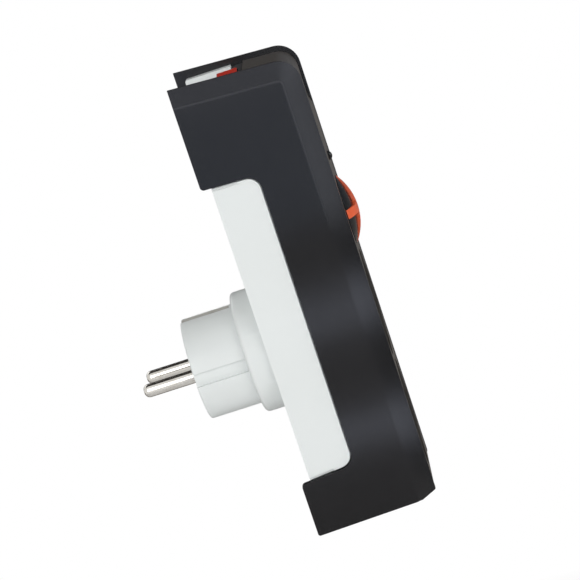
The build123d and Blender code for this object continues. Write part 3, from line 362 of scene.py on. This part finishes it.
@dataclass(frozen=True)
class Moulded(Finish):
    """Injection-moulded plastic: eroded grain, faint flow marks, rubbed edges and any painted highlight
    along a ridge.
    """

    colour: Colour
    roughness: float = 0.45
    shine: float = 0.4
    grain: float = 0.0003
    grain_depth: float = 0.000012
    grain_gloss: float = 0.05
    flow: float = 0.06
    flow_scale: float = 38.0
    flow_stretch: Stretch = (1.0, 1.0, 0.45)
    flow_depth: float = 0.0001
    gloss_change: float = 0.1
    rub: float = 0.25
    rub_scale: float = 260.0
    rub_gloss: float = 0.2
    rub_and_highlight_colour: Colour = (0.5, 0.5, 0.5)
    # The ridge fields paint a pale highlight in the rub colour along a ridge between a flat and a leaning
    # face. It is at full strength above the top height, fades below it, and keeps a least share at and
    # under the foot height.
    crest_highlight: float = 0.0
    crest_lean: float = 0.0012
    crest_foot: float = 0.03
    crest_top: float = 0.07
    crest_least: float = 0.15

    def shade(self, graph: Graph) -> None:
        """Grain in the normal, flow marks in colour and gloss, paler rubbed edges, and a painted highlight
        along ridges.

        Args:
            graph: The material's empty tree.
        """
        grain = graph.noise(1.0 / self.grain, detail=1.0)
        flow = graph.noise(self.flow_scale, detail=3.0, stretch=self.flow_stretch)
        base = graph.blend(flow, scaled(self.colour, 1.0 - self.flow), scaled(self.colour, 1.0 + self.flow))
        wear_and_highlight = graph.edges() * graph.noise(self.rub_scale) * self.rub
        # Painted highlight: a pale line along the ridge, weaker towards the bottom, mixed in with the
        # rubbed edges.
        if self.crest_highlight:
            height = graph.axis("Z").share(self.crest_foot, self.crest_top).at_least(self.crest_least)
            wear_and_highlight = wear_and_highlight + graph.crest_highlight(self.crest_lean) * height * self.crest_highlight
        base = graph.blend(wear_and_highlight, base, self.rub_and_highlight_colour)
        rough = (flow - NOISE_MIDDLE) * self.gloss_change + self.roughness
        rough = rough + (grain - NOISE_MIDDLE) * self.grain_gloss - wear_and_highlight * self.rub_gloss
        normal = graph.bump(grain, self.grain_depth, graph.bump(flow, self.flow_depth))
        graph.surface(Base_Color=base, Roughness=rough, Normal=normal, Specular_IOR_Level=self.shine)


@dataclass(frozen=True)
class Polished(Finish):
    """Glossy moulded plastic with a slight waviness, fine scuffs and dust."""

    colour: Colour
    roughness: float = 0.12
    shine: float = 0.5
    coat: float = 0.4
    coat_roughness: float = 0.05
    glow: float = 0.0
    glow_reach: Point = (0.003, 0.0008, 0.0004)
    glow_scale: float = 0.5
    depth_colour: Colour = (0.0, 0.0, 0.0)
    depth_share: float = 0.22
    wave_scale: float = 120.0
    wave_depth: float = 0.00004
    scuff_scale: float = 1500.0
    scuff_stretch: Stretch = (1.0, 1.0, 0.12)
    scuff_from: float = 0.45
    scuff_gloss: float = 0.35
    scuff_depth: float = 0.000003
    dust_scale: float = 900.0
    dust_fall: float = 9.0
    dust_share: float = 0.12
    dust_gloss: float = 0.2
    dust_colour: Colour = (0.6, 0.6, 0.6)

    def shade(self, graph: Graph) -> None:
        """Waviness and scuffs in the normal and gloss, and a deeper colour in patches.

        Args:
            graph: The material's empty tree.
        """
        wave = graph.noise(self.wave_scale)
        scuff = graph.noise(self.scuff_scale, detail=4.0, stretch=self.scuff_stretch)
        dust = (1.0 - graph.cells(self.dust_scale) * self.dust_fall).at_least(0.0)
        kept = 1.0 - self.depth_share
        deep = tuple(kept * channel + self.depth_share * low
                     for channel, low in zip(self.colour, self.depth_colour))
        base = graph.blend(wave, self.colour, deep)
        base = graph.blend(dust * self.dust_share, base, self.dust_colour)
        scuffed = (scuff - self.scuff_from).at_least(0.0)
        rough = self.roughness + scuffed * self.scuff_gloss + dust * self.dust_gloss
        normal = graph.bump(scuff, self.scuff_depth, graph.bump(wave, self.wave_depth))
        graph.surface(Base_Color=base, Roughness=rough, Normal=normal, Specular_IOR_Level=self.shine,
                      Coat_Weight=self.coat, Coat_Roughness=self.coat_roughness,
                      Subsurface_Weight=self.glow, Subsurface_Radius=self.glow_reach,
                      Subsurface_Scale=self.glow_scale)


@dataclass(frozen=True)
class DrawnMetal(Finish):
    """Plated or bare metal with the lines of its rolling, drawing or turning, and some tarnish."""

    colour: Colour
    tarnish: Colour
    run: Run
    roughness: float = 0.2
    lines: float = 9000.0
    line_share: float = 0.5
    line_gloss: float = 0.14
    line_depth: float = 0.000004
    patch_scale: float = 220.0
    patch_gain: float = 2.2
    patch_gloss: float = 0.16

    def shade(self, graph: Graph) -> None:
        """Lines in gloss and normal, and tarnish in broad patches and along the lines.

        Args:
            graph: The material's empty tree.
        """
        line = graph.noise(self.lines, stretch=self.run.value)
        patch = graph.noise(self.patch_scale, detail=4.0)
        dull = ((patch - NOISE_MIDDLE) * self.patch_gain).clipped()
        base = graph.blend(dull, self.colour, self.tarnish)
        base = graph.blend((line - NOISE_MIDDLE).at_least(0.0) * self.line_share, base, self.tarnish)
        rough = self.roughness + (line - NOISE_MIDDLE) * self.line_gloss + dull * self.patch_gloss
        normal = graph.bump(line, self.line_depth)
        graph.surface(Base_Color=base, Metallic=1.0, Roughness=rough, Normal=normal)


@dataclass(frozen=True)
class Board(Finish):
    """Circuit board: solder mask with paler copper areas under it and a bare glass-fibre edge."""

    mask: Colour = (0.02, 0.16, 0.06)
    copper: Colour = (0.06, 0.3, 0.1)
    fibre: Colour = (0.45, 0.42, 0.2)
    front: float = -0.0499
    back: float = -0.0485
    roughness: float = 0.3
    fibre_gloss: float = 0.3
    track_scale: float = 150.0
    track_stretch: Stretch = (1.0, 0.01, 0.5)
    track_depth: float = 0.00003
    weave_scale: float = 2500.0
    weave_gloss: float = 0.12
    weave_depth: float = 0.00001

    def shade(self, graph: Graph) -> None:
        """Copper areas from stepped noise on the faces, and fibre between them.

        Args:
            graph: The material's empty tree.
        """
        track = graph.noise(self.track_scale, detail=0.0, stretch=self.track_stretch) > NOISE_MIDDLE
        base = graph.blend(track, self.mask, self.copper)
        depth = graph.axis("Y")
        core = (depth > self.front) * (1.0 - (depth > self.back))
        base = graph.blend(core, base, self.fibre)
        weave = graph.noise(self.weave_scale, detail=1.0)
        rough = self.roughness + weave * self.weave_gloss + core * self.fibre_gloss
        normal = graph.bump(track, self.track_depth, graph.bump(weave, self.weave_depth))
        graph.surface(Base_Color=base, Roughness=rough, Normal=normal)


@dataclass(frozen=True)
class Sleeve(Finish):
    """Soft wire insulation in two colours, parted along the wire's length."""

    colour: Colour
    second: Colour
    seam: float = 0.0004
    roughness: float = 0.42
    uneven_scale: float = 500.0
    uneven_share: float = 0.2
    uneven_dark: float = 0.6
    uneven_gloss: float = 0.15
    uneven_depth: float = 0.00003

    def shade(self, graph: Graph) -> None:
        """Two colours, one on each side of the seam, with drawn-on unevenness.

        Args:
            graph: The material's empty tree.
        """
        side = graph.axis("X") > self.seam
        uneven = graph.noise(self.uneven_scale, detail=3.0)
        base = graph.blend(side, self.colour, self.second)
        base = graph.blend(uneven * self.uneven_share, base, scaled(self.colour, self.uneven_dark))
        graph.surface(Base_Color=base, Roughness=self.roughness + uneven * self.uneven_gloss,
                      Normal=graph.bump(uneven, self.uneven_depth))


@dataclass(frozen=True)
class Lens(Finish):
    """Clear moulded lens with flow swirls."""

    colour: Colour
    alpha: float
    roughness: float = 0.06
    coat: float = 0.5
    swirl_scale: float = 700.0
    swirl_dark: float = 0.85
    swirl_change: float = 0.08
    swirl_depth: float = 0.00002

    def shade(self, graph: Graph) -> None:
        """See-through gloss whose swirls bend the light a little.

        Args:
            graph: The material's empty tree.
        """
        swirl = graph.noise(self.swirl_scale, detail=3.0)
        base = graph.blend(swirl, self.colour, scaled(self.colour, self.swirl_dark))
        change = swirl * self.swirl_change
        graph.surface(Base_Color=base, Roughness=self.roughness + change, Alpha=self.alpha + change,
                      Normal=graph.bump(swirl, self.swirl_depth), Coat_Weight=self.coat)


# The charcoal covers carry a painted highlight along their crease ridge, in the rub colour, which also
# serves for their edge wear.
CHARCOAL = Moulded("charcoal_cover_plastic", (0.008, 0.0079, 0.0084), roughness=0.25, rub=0.06,
                   rub_and_highlight_colour=(0.07, 0.07, 0.075), gloss_change=0.04, shine=0.5, crest_highlight=0.38)
FASCIA = Moulded("warm_fascia_plastic", (0.065, 0.058, 0.052), roughness=0.36, rub=0.12,
                 rub_and_highlight_colour=(0.16, 0.15, 0.135))
WHITE = Moulded("white_case_plastic", (0.76, 0.79, 0.78), roughness=0.34, grain_depth=0.000006,
                flow=0.015, rub=0.1, rub_and_highlight_colour=(0.86, 0.87, 0.86))
BLACK = Moulded("black_switch_plastic", (0.012, 0.012, 0.013), roughness=0.42, rub=0.1, shine=0.3)
GREY = Moulded("grey_capacitor_plastic", (0.3, 0.31, 0.32), roughness=0.5, rub=0.1)
GLOSS_BLACK = Polished("polished_black_plastic", (0.008, 0.0085, 0.01), coat=0.0, shine=0.18)
ORANGE = Polished("orange_plastic", (0.95, 0.13, 0.04), roughness=0.3, coat=0.05, glow=0.05,
                  depth_colour=(0.6, 0.06, 0.015))
RED = Polished("red_rocker_plastic", (0.72, 0.035, 0.015), roughness=0.2, coat=0.3, glow=0.1,
               depth_colour=(0.3, 0.01, 0.004))
SMOKED = Polished("smoked_lens_plastic", (0.01, 0.01, 0.011), roughness=0.3, coat=0.0, shine=0.25)
LACQUER = Polished("blue_component_lacquer", (0.02, 0.1, 0.35), roughness=0.25, coat=0.3)
CLEAR = Lens("clear_lens_plastic", (0.9, 0.93, 0.95), alpha=0.45)
PIN_NICKEL = DrawnMetal("turned_nickel", (0.66, 0.64, 0.6), (0.5, 0.46, 0.4), Run.ROUND_Y, roughness=0.16)
STRAP_NICKEL = DrawnMetal("rolled_nickel", (0.62, 0.6, 0.56), (0.42, 0.39, 0.34), Run.ALONG_Y,
                          roughness=0.7, lines=6000.0)
BRASS = DrawnMetal("rolled_brass", (0.72, 0.5, 0.2), (0.42, 0.25, 0.09), Run.ALONG_Z,
                   roughness=0.3, lines=6000.0)
STEEL = DrawnMetal("zinc_plated_steel", (0.56, 0.57, 0.58), (0.4, 0.39, 0.36), Run.ALONG_X,
                   roughness=0.3, lines=5000.0)
GREEN_BOARD = Board("surge_circuit_board")
BROWN_WIRE = Sleeve("brown_wire_sleeve", (0.12, 0.045, 0.02), (0.13, 0.05, 0.022))
BLUE_WIRE = Sleeve("blue_wire_sleeve", (0.02, 0.12, 0.45), (0.022, 0.13, 0.47))
EARTH_WIRE = Sleeve("green_and_yellow_wire_sleeve", (0.06, 0.3, 0.05), (0.75, 0.6, 0.04))


def choose(piece: bpy.types.Object) -> None:
    """Select one object alone and make it active.

    Args:
        piece: The object.
    """
    bpy.ops.object.select_all(action="DESELECT")
    piece.select_set(True)
    bpy.context.view_layer.objects.active = piece


@dataclass
class Skin:
    """A visible shell taken from its CAD node, with its sharp edges rounded as a mould leaves them."""

    node: str
    body: str
    slot: str
    finish: Finish
    edge: float = 0.0003
    edge_steps: int = 3
    weld: float = 2e-6
    level_angle: float = 0.5
    sharp_angle: float = 28.0
    smooth_angle: float = 32.0

    def build(self) -> bpy.types.Object:
        """Copy the node's mesh, merge it, round its edges and let it stand for the node.

        Returns:
            The new piece.
        """
        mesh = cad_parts[self.node].data.copy()
        piece = bpy.data.objects.new(self.node + "_skin", mesh)
        bpy.context.scene.collection.objects.link(piece)
        choose(piece)
        bpy.ops.object.mode_set(mode="EDIT")
        bpy.ops.mesh.select_all(action="SELECT")
        bpy.ops.mesh.remove_doubles(threshold=self.weld)
        bpy.ops.mesh.dissolve_limited(angle_limit=radians(self.level_angle))
        bpy.ops.mesh.select_mode(type="EDGE")
        self.soften(piece)
        bpy.ops.mesh.select_all(action="DESELECT")
        bpy.ops.mesh.edges_select_sharp(sharpness=radians(self.sharp_angle))
        self.round_selected(self.edge, self.edge_steps, clamp=True)
        bpy.ops.object.mode_set(mode="OBJECT")
        bpy.ops.mesh.customdata_custom_splitnormals_clear()
        bpy.ops.object.shade_smooth_by_angle(angle=radians(self.smooth_angle))
        even = piece.modifiers.new("even_normals", "WEIGHTED_NORMAL")
        even.keep_sharp = True
        bpy.ops.object.modifier_apply(modifier=even.name)
        self.finish.dress(piece)
        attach(piece, self.body)
        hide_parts(self.node)
        return piece

    def soften(self, piece: bpy.types.Object) -> None:
        """Round any edges that are broader than the rest; a plain skin has none."""

    @staticmethod
    def round_selected(width: float, steps: int, clamp: bool) -> None:
        """Round the selected edges.

        Args:
            width: Metres from the edge to the rounding's border.
            steps: How many faces the rounding has across it.
            clamp: Whether the width gives way where edges are close together.
        """
        bpy.ops.mesh.bevel(offset=width, offset_type="OFFSET", segments=steps, profile=0.5,
                           clamp_overlap=clamp)


@dataclass
class CoverSkin(Skin):
    """A side cover, whose shallow crease is a broad soft ridge between the flat face and the leaning bands.

    A face is square where its normal's X part is over one limit, and leaning where it is between both.
    """

    crease: float = 0.0007
    crease_steps: int = 4
    square: float = 0.9995
    leaning: float = 0.99

    def soften(self, piece: bpy.types.Object) -> None:
        """Round the crease, where the flat outer face meets the leaning bands.

        Args:
            piece: The cover, in edit mode.
        """
        bpy.ops.mesh.select_all(action="DESELECT")
        mesh = bmesh.from_edit_mesh(piece.data)
        for edge in mesh.edges:
            across = sorted(abs(face.normal.x) for face in edge.link_faces)
            edge.select = self.leaning < across[0] < self.square < across[-1]
        bmesh.update_edit_mesh(piece.data)
        self.round_selected(self.crease, self.crease_steps, clamp=False)


class SubAssembly:
    """A group of pieces that are made or dressed together."""

    title: str

    def skins(self) -> list[Skin]:
        """The pieces that get a shell with rounded edges."""
        return []

    def dressed(self) -> dict[str, Finish]:
        """The CAD nodes that stay as they are, each with its finish."""
        return {}

    def build(self) -> None:
        """Make the skins and dress the CAD nodes that stay."""
        for skin in self.skins():
            piece = skin.build()
            report.info("%s: %s, %d faces", self.title, piece.name, len(piece.data.polygons))
        for node, finish in self.dressed().items():
            finish.dress(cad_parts[node])
            report.info("%s: %s in %s", self.title, node, finish.name)


@dataclass
class Case(SubAssembly):
    """The side covers, the rear housing, the front fascia and the screws that join them."""

    title: str = "case"
    cover_edge: float = 0.0003
    housing_edge: float = 0.0003
    fascia_edge: float = 0.00025

    def skins(self) -> list[Skin]:
        """The covers and the two shells."""
        covers = [CoverSkin("side_cover_" + side, "housing", "charcoal_plastic", CHARCOAL, self.cover_edge)
                  for side in ("left", "right")]
        return [*covers, Skin("rear_housing", "housing", "white_plastic", WHITE, self.housing_edge),
                Skin("front_fascia", "housing", "dark_fascia_plastic", FASCIA, self.fascia_edge)]

    def dressed(self) -> dict[str, Finish]:
        """The screws."""
        joined = ("housing", "flange", "insert", "board", "earth")
        return {name + "_screws": STEEL for name in joined}


@dataclass
class WallPlug(SubAssembly):
    """The round plug with its pins and earth strap."""

    title: str = "wall plug"
    body_edge: float = 0.00025

    def skins(self) -> list[Skin]:
        """The plug's body."""
        return [Skin("plug_body", "housing", "white_plastic", WHITE, self.body_edge)]

    def dressed(self) -> dict[str, Finish]:
        """The plug's metal."""
        return {"pin_live": PIN_NICKEL, "pin_neutral": PIN_NICKEL, "plug_earth_strap": STRAP_NICKEL}


@dataclass
class Sockets(SubAssembly):
    """The socket recesses with their shutters, contacts and bus bars."""

    title: str = "sockets"
    insert_edge: float = 0.0002
    shutter_edge: float = 0.00015
    places: tuple[str, ...] = ("upper", "lower")

    def skins(self) -> list[Skin]:
        """The double recess and its two shutters.

        Returns:
            The skins.
        """
        insert = Skin("socket_insert", "housing", "black_matte_plastic", BLACK, self.insert_edge)
        shutters = [Skin("shutter_" + place, "shutter_plate_" + place, "white_plastic", WHITE,
                         self.shutter_edge) for place in self.places]
        return [insert, *shutters]

    def dressed(self) -> dict[str, Finish]:
        """The contacts, the bus bars, the springs and the rings.

        Returns:
            A finish for each CAD node.
        """
        rails: dict[str, Finish] = {"shutter_rings": STEEL, "live_rail": BRASS, "neutral_rail": BRASS,
                                    "earth_link": BRASS}
        for place in self.places:
            rails.update({"earth_clip_" + place: STRAP_NICKEL, "shutter_spring_" + place: STEEL,
                          "spring_leg_" + place: STEEL})
        return rails


@dataclass
class Controls(SubAssembly):
    """The domed push button, the rocker and the indicator."""

    title: str = "controls"
    cap_edge: float = 0.0003
    cross_edge: float = 0.00025
    body_edge: float = 0.0002
    lens_edge: float = 0.0001

    def skins(self) -> list[Skin]:
        """The parts of the controls that show outside."""
        return [Skin("button_cap", "button", "black_gloss_plastic", GLOSS_BLACK, self.cap_edge),
                Skin("button_cross", "button", "orange_plastic", ORANGE, self.cross_edge),
                Skin("rocker_cap", "rocker", "red_plastic", RED, self.cap_edge),
                Skin("rocker_body", "housing", "black_matte_plastic", BLACK, self.body_edge),
                Skin("led_lens", "housing", "smoked_lens", SMOKED, self.lens_edge)]

    def dressed(self) -> dict[str, Finish]:
        """The parts of the controls inside the case."""
        return {"push_switch": BLACK, "switch_plunger": WHITE, "led": CLEAR, "rocker_lamp": CLEAR,
                "rocker_terminals": BRASS}


@dataclass
class SurgeProtection(SubAssembly):
    """The circuit board with its components and the leads."""

    title: str = "surge protection"
    varistors: int = 3

    def dressed(self) -> dict[str, Finish]:
        """The board, what stands on it and the leads.

        Returns:
            A finish for each CAD node.
        """
        parts: dict[str, Finish] = {"surge_board": GREEN_BOARD, "gas_tube": STEEL, "thermal_fuse": STEEL,
                                    "filter_capacitor": GREY, "led_resistor": LACQUER}
        parts.update({f"varistor_{number + 1}": LACQUER for number in range(self.varistors)})
        parts.update({"live_lead": BROWN_WIRE, "switched_lead": BROWN_WIRE, "neutral_lead": BLUE_WIRE,
                      "earth_lead": EARTH_WIRE})
        return parts


GREY_LIGHT = (1.0, 0.97, 0.98)
TUBE_LIGHT = (1.0, 1.06, 1.26)
COOL_LIGHT = (1.0, 1.15, 1.45)
CREASE_LIGHT = (1.0, 1.05, 1.2)


@dataclass(frozen=True)
class Band:
    """A level part of the panel, between two heights in millimetres, with its light."""

    low: float
    high: float
    light: Colour
    level: float

    def stops(self, bottom: float, size: float) -> list[tuple[float, Colour]]:
        """The band's two ends as colour ramp stops.

        Args:
            bottom: The panel's lower edge in millimetres.
            size: The panel's height in millimetres.

        Returns:
            Position and colour of each end.
        """
        tone = scaled(self.light, self.level)
        return [((height - bottom) / size, tone) for height in (self.low, self.high)]


# The near cover's flat face reflects the first row of bands, and its leaning faces the second.
FLAT_BANDS = [Band(-70.0, -54.5, GREY_LIGHT, 0.27), Band(-48.5, -43.0, TUBE_LIGHT, 1.38),
              Band(-37.5, -11.5, GREY_LIGHT, 0.28), Band(-6.0, -0.5, TUBE_LIGHT, 1.16),
              Band(13.0, 29.0, GREY_LIGHT, 0.24), Band(36.0, 84.0, COOL_LIGHT, 0.42),
              Band(87.0, 92.0, TUBE_LIGHT, 0.65)]
CREASE_BANDS = [Band(-100.0, -74.0, GREY_LIGHT, 0.45), Band(-66.0, -57.5, GREY_LIGHT, 0.08),
                Band(-53.5, -43.5, TUBE_LIGHT, 1.5), Band(-35.0, -13.0, GREY_LIGHT, 0.07),
                Band(-5.0, 4.0, TUBE_LIGHT, 1.4), Band(14.0, 25.0, GREY_LIGHT, 0.05),
                Band(37.0, 84.0, CREASE_LIGHT, 1.02), Band(90.0, 100.0, CREASE_LIGHT, 1.2)]


@dataclass
class Softbox:
    """A white area lamp that faces the middle of the object."""

    name: str
    at: Point
    size: tuple[float, float]
    watts: float
    target: Point = (0.0, -0.04, 0.017)

    def build(self) -> None:
        """Add the lamp and turn it to its target."""
        lamp = bpy.data.lights.new(self.name, "AREA")
        lamp.shape = "RECTANGLE"
        lamp.size, lamp.size_y = self.size
        lamp.energy = self.watts
        holder = bpy.data.objects.new(self.name, lamp)
        bpy.context.scene.collection.objects.link(holder)
        holder.location = self.at
        way = Vector(self.target) - Vector(self.at)
        holder.rotation_euler = way.to_track_quat("-Z", "Y").to_euler()


@dataclass
class Studio:
    """Camera at the photograph's place, softboxes, a white surround and a pale floor far below.

    A dark cove round the far side and a banded panel beside the near cover show in gloss alone.
    """

    camera_at: Point = (-0.827, -0.0922, 0.1874)
    right: Point = (-0.00444, -0.95026, -0.31144)
    up: Point = (0.21072, -0.30534, 0.92864)
    back: Point = (-0.97754, -0.0615, 0.20159)
    lens: float = 149.83
    film_width: float = 36.0
    sight: float = 20.0
    ambient: float = 0.3
    floor_at: float = -0.4
    floor_size: float = 8.0
    floor_mottle: float = 3.0
    floor_dark: Colour = (0.93, 0.93, 0.93)
    floor_pale: Colour = (0.96, 0.96, 0.96)
    floor_roughness: float = 0.9
    shadow_near: float = 0.5
    shadow_far: float = 0.8
    cove_at: Point = (0.75, -0.1, 0.5)
    cove_size: Point = (1.2, 3.0, 1.74)
    cove_lean: float = 0.3
    facing: float = 0.9
    card_low: float = -0.35
    card_high: float = 0.15
    card_warm: Colour = (0.26, 0.24, 0.22)
    card_dark: Colour = (0.035, 0.033, 0.032)
    card_side: Colour = (0.15, 0.16, 0.18)
    side_from: float = -0.05
    side_to: float = -0.3
    panel_at: Point = (-0.075, -0.126, 0.0)
    panel_size: float = 0.268
    panel_seam: float = -0.065
    panel_fade: float = 0.003
    panel_fall: float = 85.0
    panel_rise: float = 0.85
    lamps: list[Softbox] = field(default_factory=lambda: [
        Softbox("key_softbox", (-0.95, 0.25, 0.36), (0.7, 0.7), 5.1),
        Softbox("fill_softbox", (-0.85, -0.6, 0.2), (0.6, 0.8), 2.5),
        Softbox("front_softbox", (-0.05, -1.0, 0.35), (0.5, 0.5), 3.5),
        Softbox("back_softbox", (0.7, 0.5, 0.6), (0.6, 0.6), 1.8)])

    def build(self) -> None:
        """Set up the camera, the lamps, the surround, the floor and the cards."""
        self.place_camera()
        for lamp in self.lamps:
            lamp.build()
        self.light_world()
        self.lay_floor()
        self.stand_cove()
        self.hang_panel()
        bpy.context.scene.view_settings.view_transform = "Standard"

    def place_camera(self) -> None:
        """Put the camera where the photograph was taken from."""
        data = bpy.data.cameras.new("photo_camera")
        data.lens = self.lens
        data.sensor_width = self.film_width
        data.clip_end = self.sight
        camera = bpy.data.objects.new("photo_camera", data)
        bpy.context.scene.collection.objects.link(camera)
        turn = Matrix((self.right, self.up, self.back)).transposed()
        camera.matrix_world = Matrix.Translation(self.camera_at) @ turn.to_4x4()
        bpy.context.scene.camera = camera

    def light_world(self) -> None:
        """White where the camera, gloss or glass sees it, and a plain soft level on the object."""
        world = bpy.data.worlds.new("white_surround")
        world.use_nodes = True
        bpy.context.scene.world = world
        graph = Graph(world.node_tree)
        strength = graph.seen() * (1.0 - self.ambient) + self.ambient
        glow = graph.add("ShaderNodeBackground", None, {"Color": PLAIN_WHITE, "Strength": strength})
        graph.add("ShaderNodeOutputWorld", None, {"Surface": glow.outputs[0]})

    def lay_floor(self) -> None:
        """A wide pale floor, well below the held object, that keeps its soft shadow and fades to white."""
        bpy.ops.object.select_all(action="DESELECT")
        bpy.ops.mesh.primitive_plane_add(size=self.floor_size, location=(0.0, 0.0, self.floor_at))
        floor = bpy.context.object
        floor.name = "studio_floor"
        bpy.ops.object.transform_apply(location=True)
        paper, graph = self.card("pale_paper")
        base = graph.blend(graph.noise(self.floor_mottle), self.floor_dark, self.floor_pale)
        sockets = {"Base Color": base, "Roughness": self.floor_roughness}
        lit = graph.add("ShaderNodeBsdfPrincipled", None, sockets).outputs[0]
        white = graph.glow(PLAIN_WHITE, 1.0)
        level = {0: graph.place((1.0, 1.0, 0.0))}
        away = graph.add("ShaderNodeVectorMath", {"operation": "LENGTH"}, level).outputs["Value"]
        fade = Value(graph, away).share(self.shadow_near, self.shadow_far)
        graph.finish_mixed(graph.seen() * fade, lit, white)
        floor.data.materials.append(paper)

    def stand_cove(self) -> None:
        """A dark card round the far side, which only gloss sees, its top edge leaning over the object."""
        bpy.ops.object.select_all(action="DESELECT")
        bpy.ops.mesh.primitive_cube_add(size=1.0, location=self.cove_at, scale=self.cove_size)
        cove = bpy.context.object
        cove.name = "studio_cove"
        bpy.ops.object.transform_apply(location=True, rotation=True, scale=True)
        bpy.ops.object.mode_set(mode="EDIT")
        bpy.ops.mesh.select_all(action="DESELECT")
        mesh = bmesh.from_edit_mesh(cove.data)
        for face in mesh.faces:
            face.select = face.normal.x < -self.facing or face.normal.y > self.facing
        middle_x, _, middle_z = self.cove_at
        for corner in mesh.verts:
            if corner.co.x < middle_x and corner.co.z > middle_z:
                corner.co.x -= self.cove_lean
        bmesh.update_edit_mesh(cove.data)
        bpy.ops.mesh.delete(type="ONLY_FACE")
        bpy.ops.mesh.select_all(action="SELECT")
        bpy.ops.mesh.flip_normals()
        bpy.ops.object.mode_set(mode="OBJECT")
        card, graph = self.card("dark_card")
        height = graph.axis("Z").share(self.card_low, self.card_high)
        side = graph.axis("Y").share(self.side_from, self.side_to)
        upper = graph.blend(side, self.card_dark, self.card_side)
        self.gloss_only(graph, graph.blend(height, self.card_warm, upper), 1.0)
        cove.data.materials.append(card)

    def hang_panel(self) -> None:
        """A panel of grey and cool bands beside the near cover, which only gloss sees.

        Past its seam it has the bands that the cover's leaning faces reflect, and grows dark with depth.
        """
        bpy.ops.object.select_all(action="DESELECT")
        bpy.ops.mesh.primitive_plane_add(size=self.panel_size, location=self.panel_at,
                                         rotation=(0.0, pi / 2, 0.0))
        panel = bpy.context.object
        panel.name = "studio_panel"
        bpy.ops.object.transform_apply(location=True, rotation=True, scale=True)
        card, graph = self.card("tube_panel")
        bottom = self.panel_at[2] - self.panel_size / 2
        height = graph.axis("Z").share(bottom, bottom + self.panel_size)
        flat, crease = (self.ramp(graph, height, bands, bottom) for bands in (FLAT_BANDS, CREASE_BANDS))
        beside = (self.panel_seam - graph.axis("Y")).at_least(0.0)
        past = beside.share(0.0, self.panel_fade)
        strength = (past * self.panel_rise + 1.0 - beside * self.panel_fall).at_least(0.0)
        self.gloss_only(graph, graph.blend(past, flat, crease), strength)
        panel.data.materials.append(card)

    def ramp(self, graph: Graph, height: Value, bands: list[Band], bottom: float) -> bpy.types.NodeSocket:
        """Colour of the panel at a height.

        Args:
            graph: The panel's graph.
            height: Height on the panel, from 0 to 1.
            bands: The level parts, from the lowest to the highest.
            bottom: The panel's lower edge in metres.

        Returns:
            The colour's socket.
        """
        low, size = bottom * MILLIMETRES, self.panel_size * MILLIMETRES
        stops = [stop for band in bands for stop in band.stops(low, size)]
        return graph.add("ShaderNodeValToRGB", {"stops": stops}, {0: height}).outputs[0]

    @staticmethod
    def card(name: str) -> tuple[bpy.types.Material, Graph]:
        """A new material for the studio, with its empty graph.

        Args:
            name: The material's name.

        Returns:
            The material and its graph.
        """
        card = bpy.data.materials.new(name)
        card.use_nodes = True
        return card, Graph(card.node_tree)

    @staticmethod
    def gloss_only(graph: Graph, tone: bpy.types.NodeSocket, strength: Any) -> None:
        """Finish a card that glows for glossy rays and is clear to every other ray.

        Args:
            graph: The card's graph.
            tone: Colour of its light.
            strength: Strength of its light, a number or a Value.
        """
        clear = graph.add("ShaderNodeBsdfTransparent").outputs[0]
        graph.finish_mixed(graph.ray("Is Glossy Ray"), clear, graph.glow(tone, strength))


def main() -> None:
    """Build every sub-assembly and the studio."""
    logging.basicConfig(level=logging.INFO, format="%(message)s")
    for assembly in (Case(), WallPlug(), Sockets(), Controls(), SurgeProtection()):
        assembly.build()
    Studio().build()


if __name__ == "__main__":
    main()
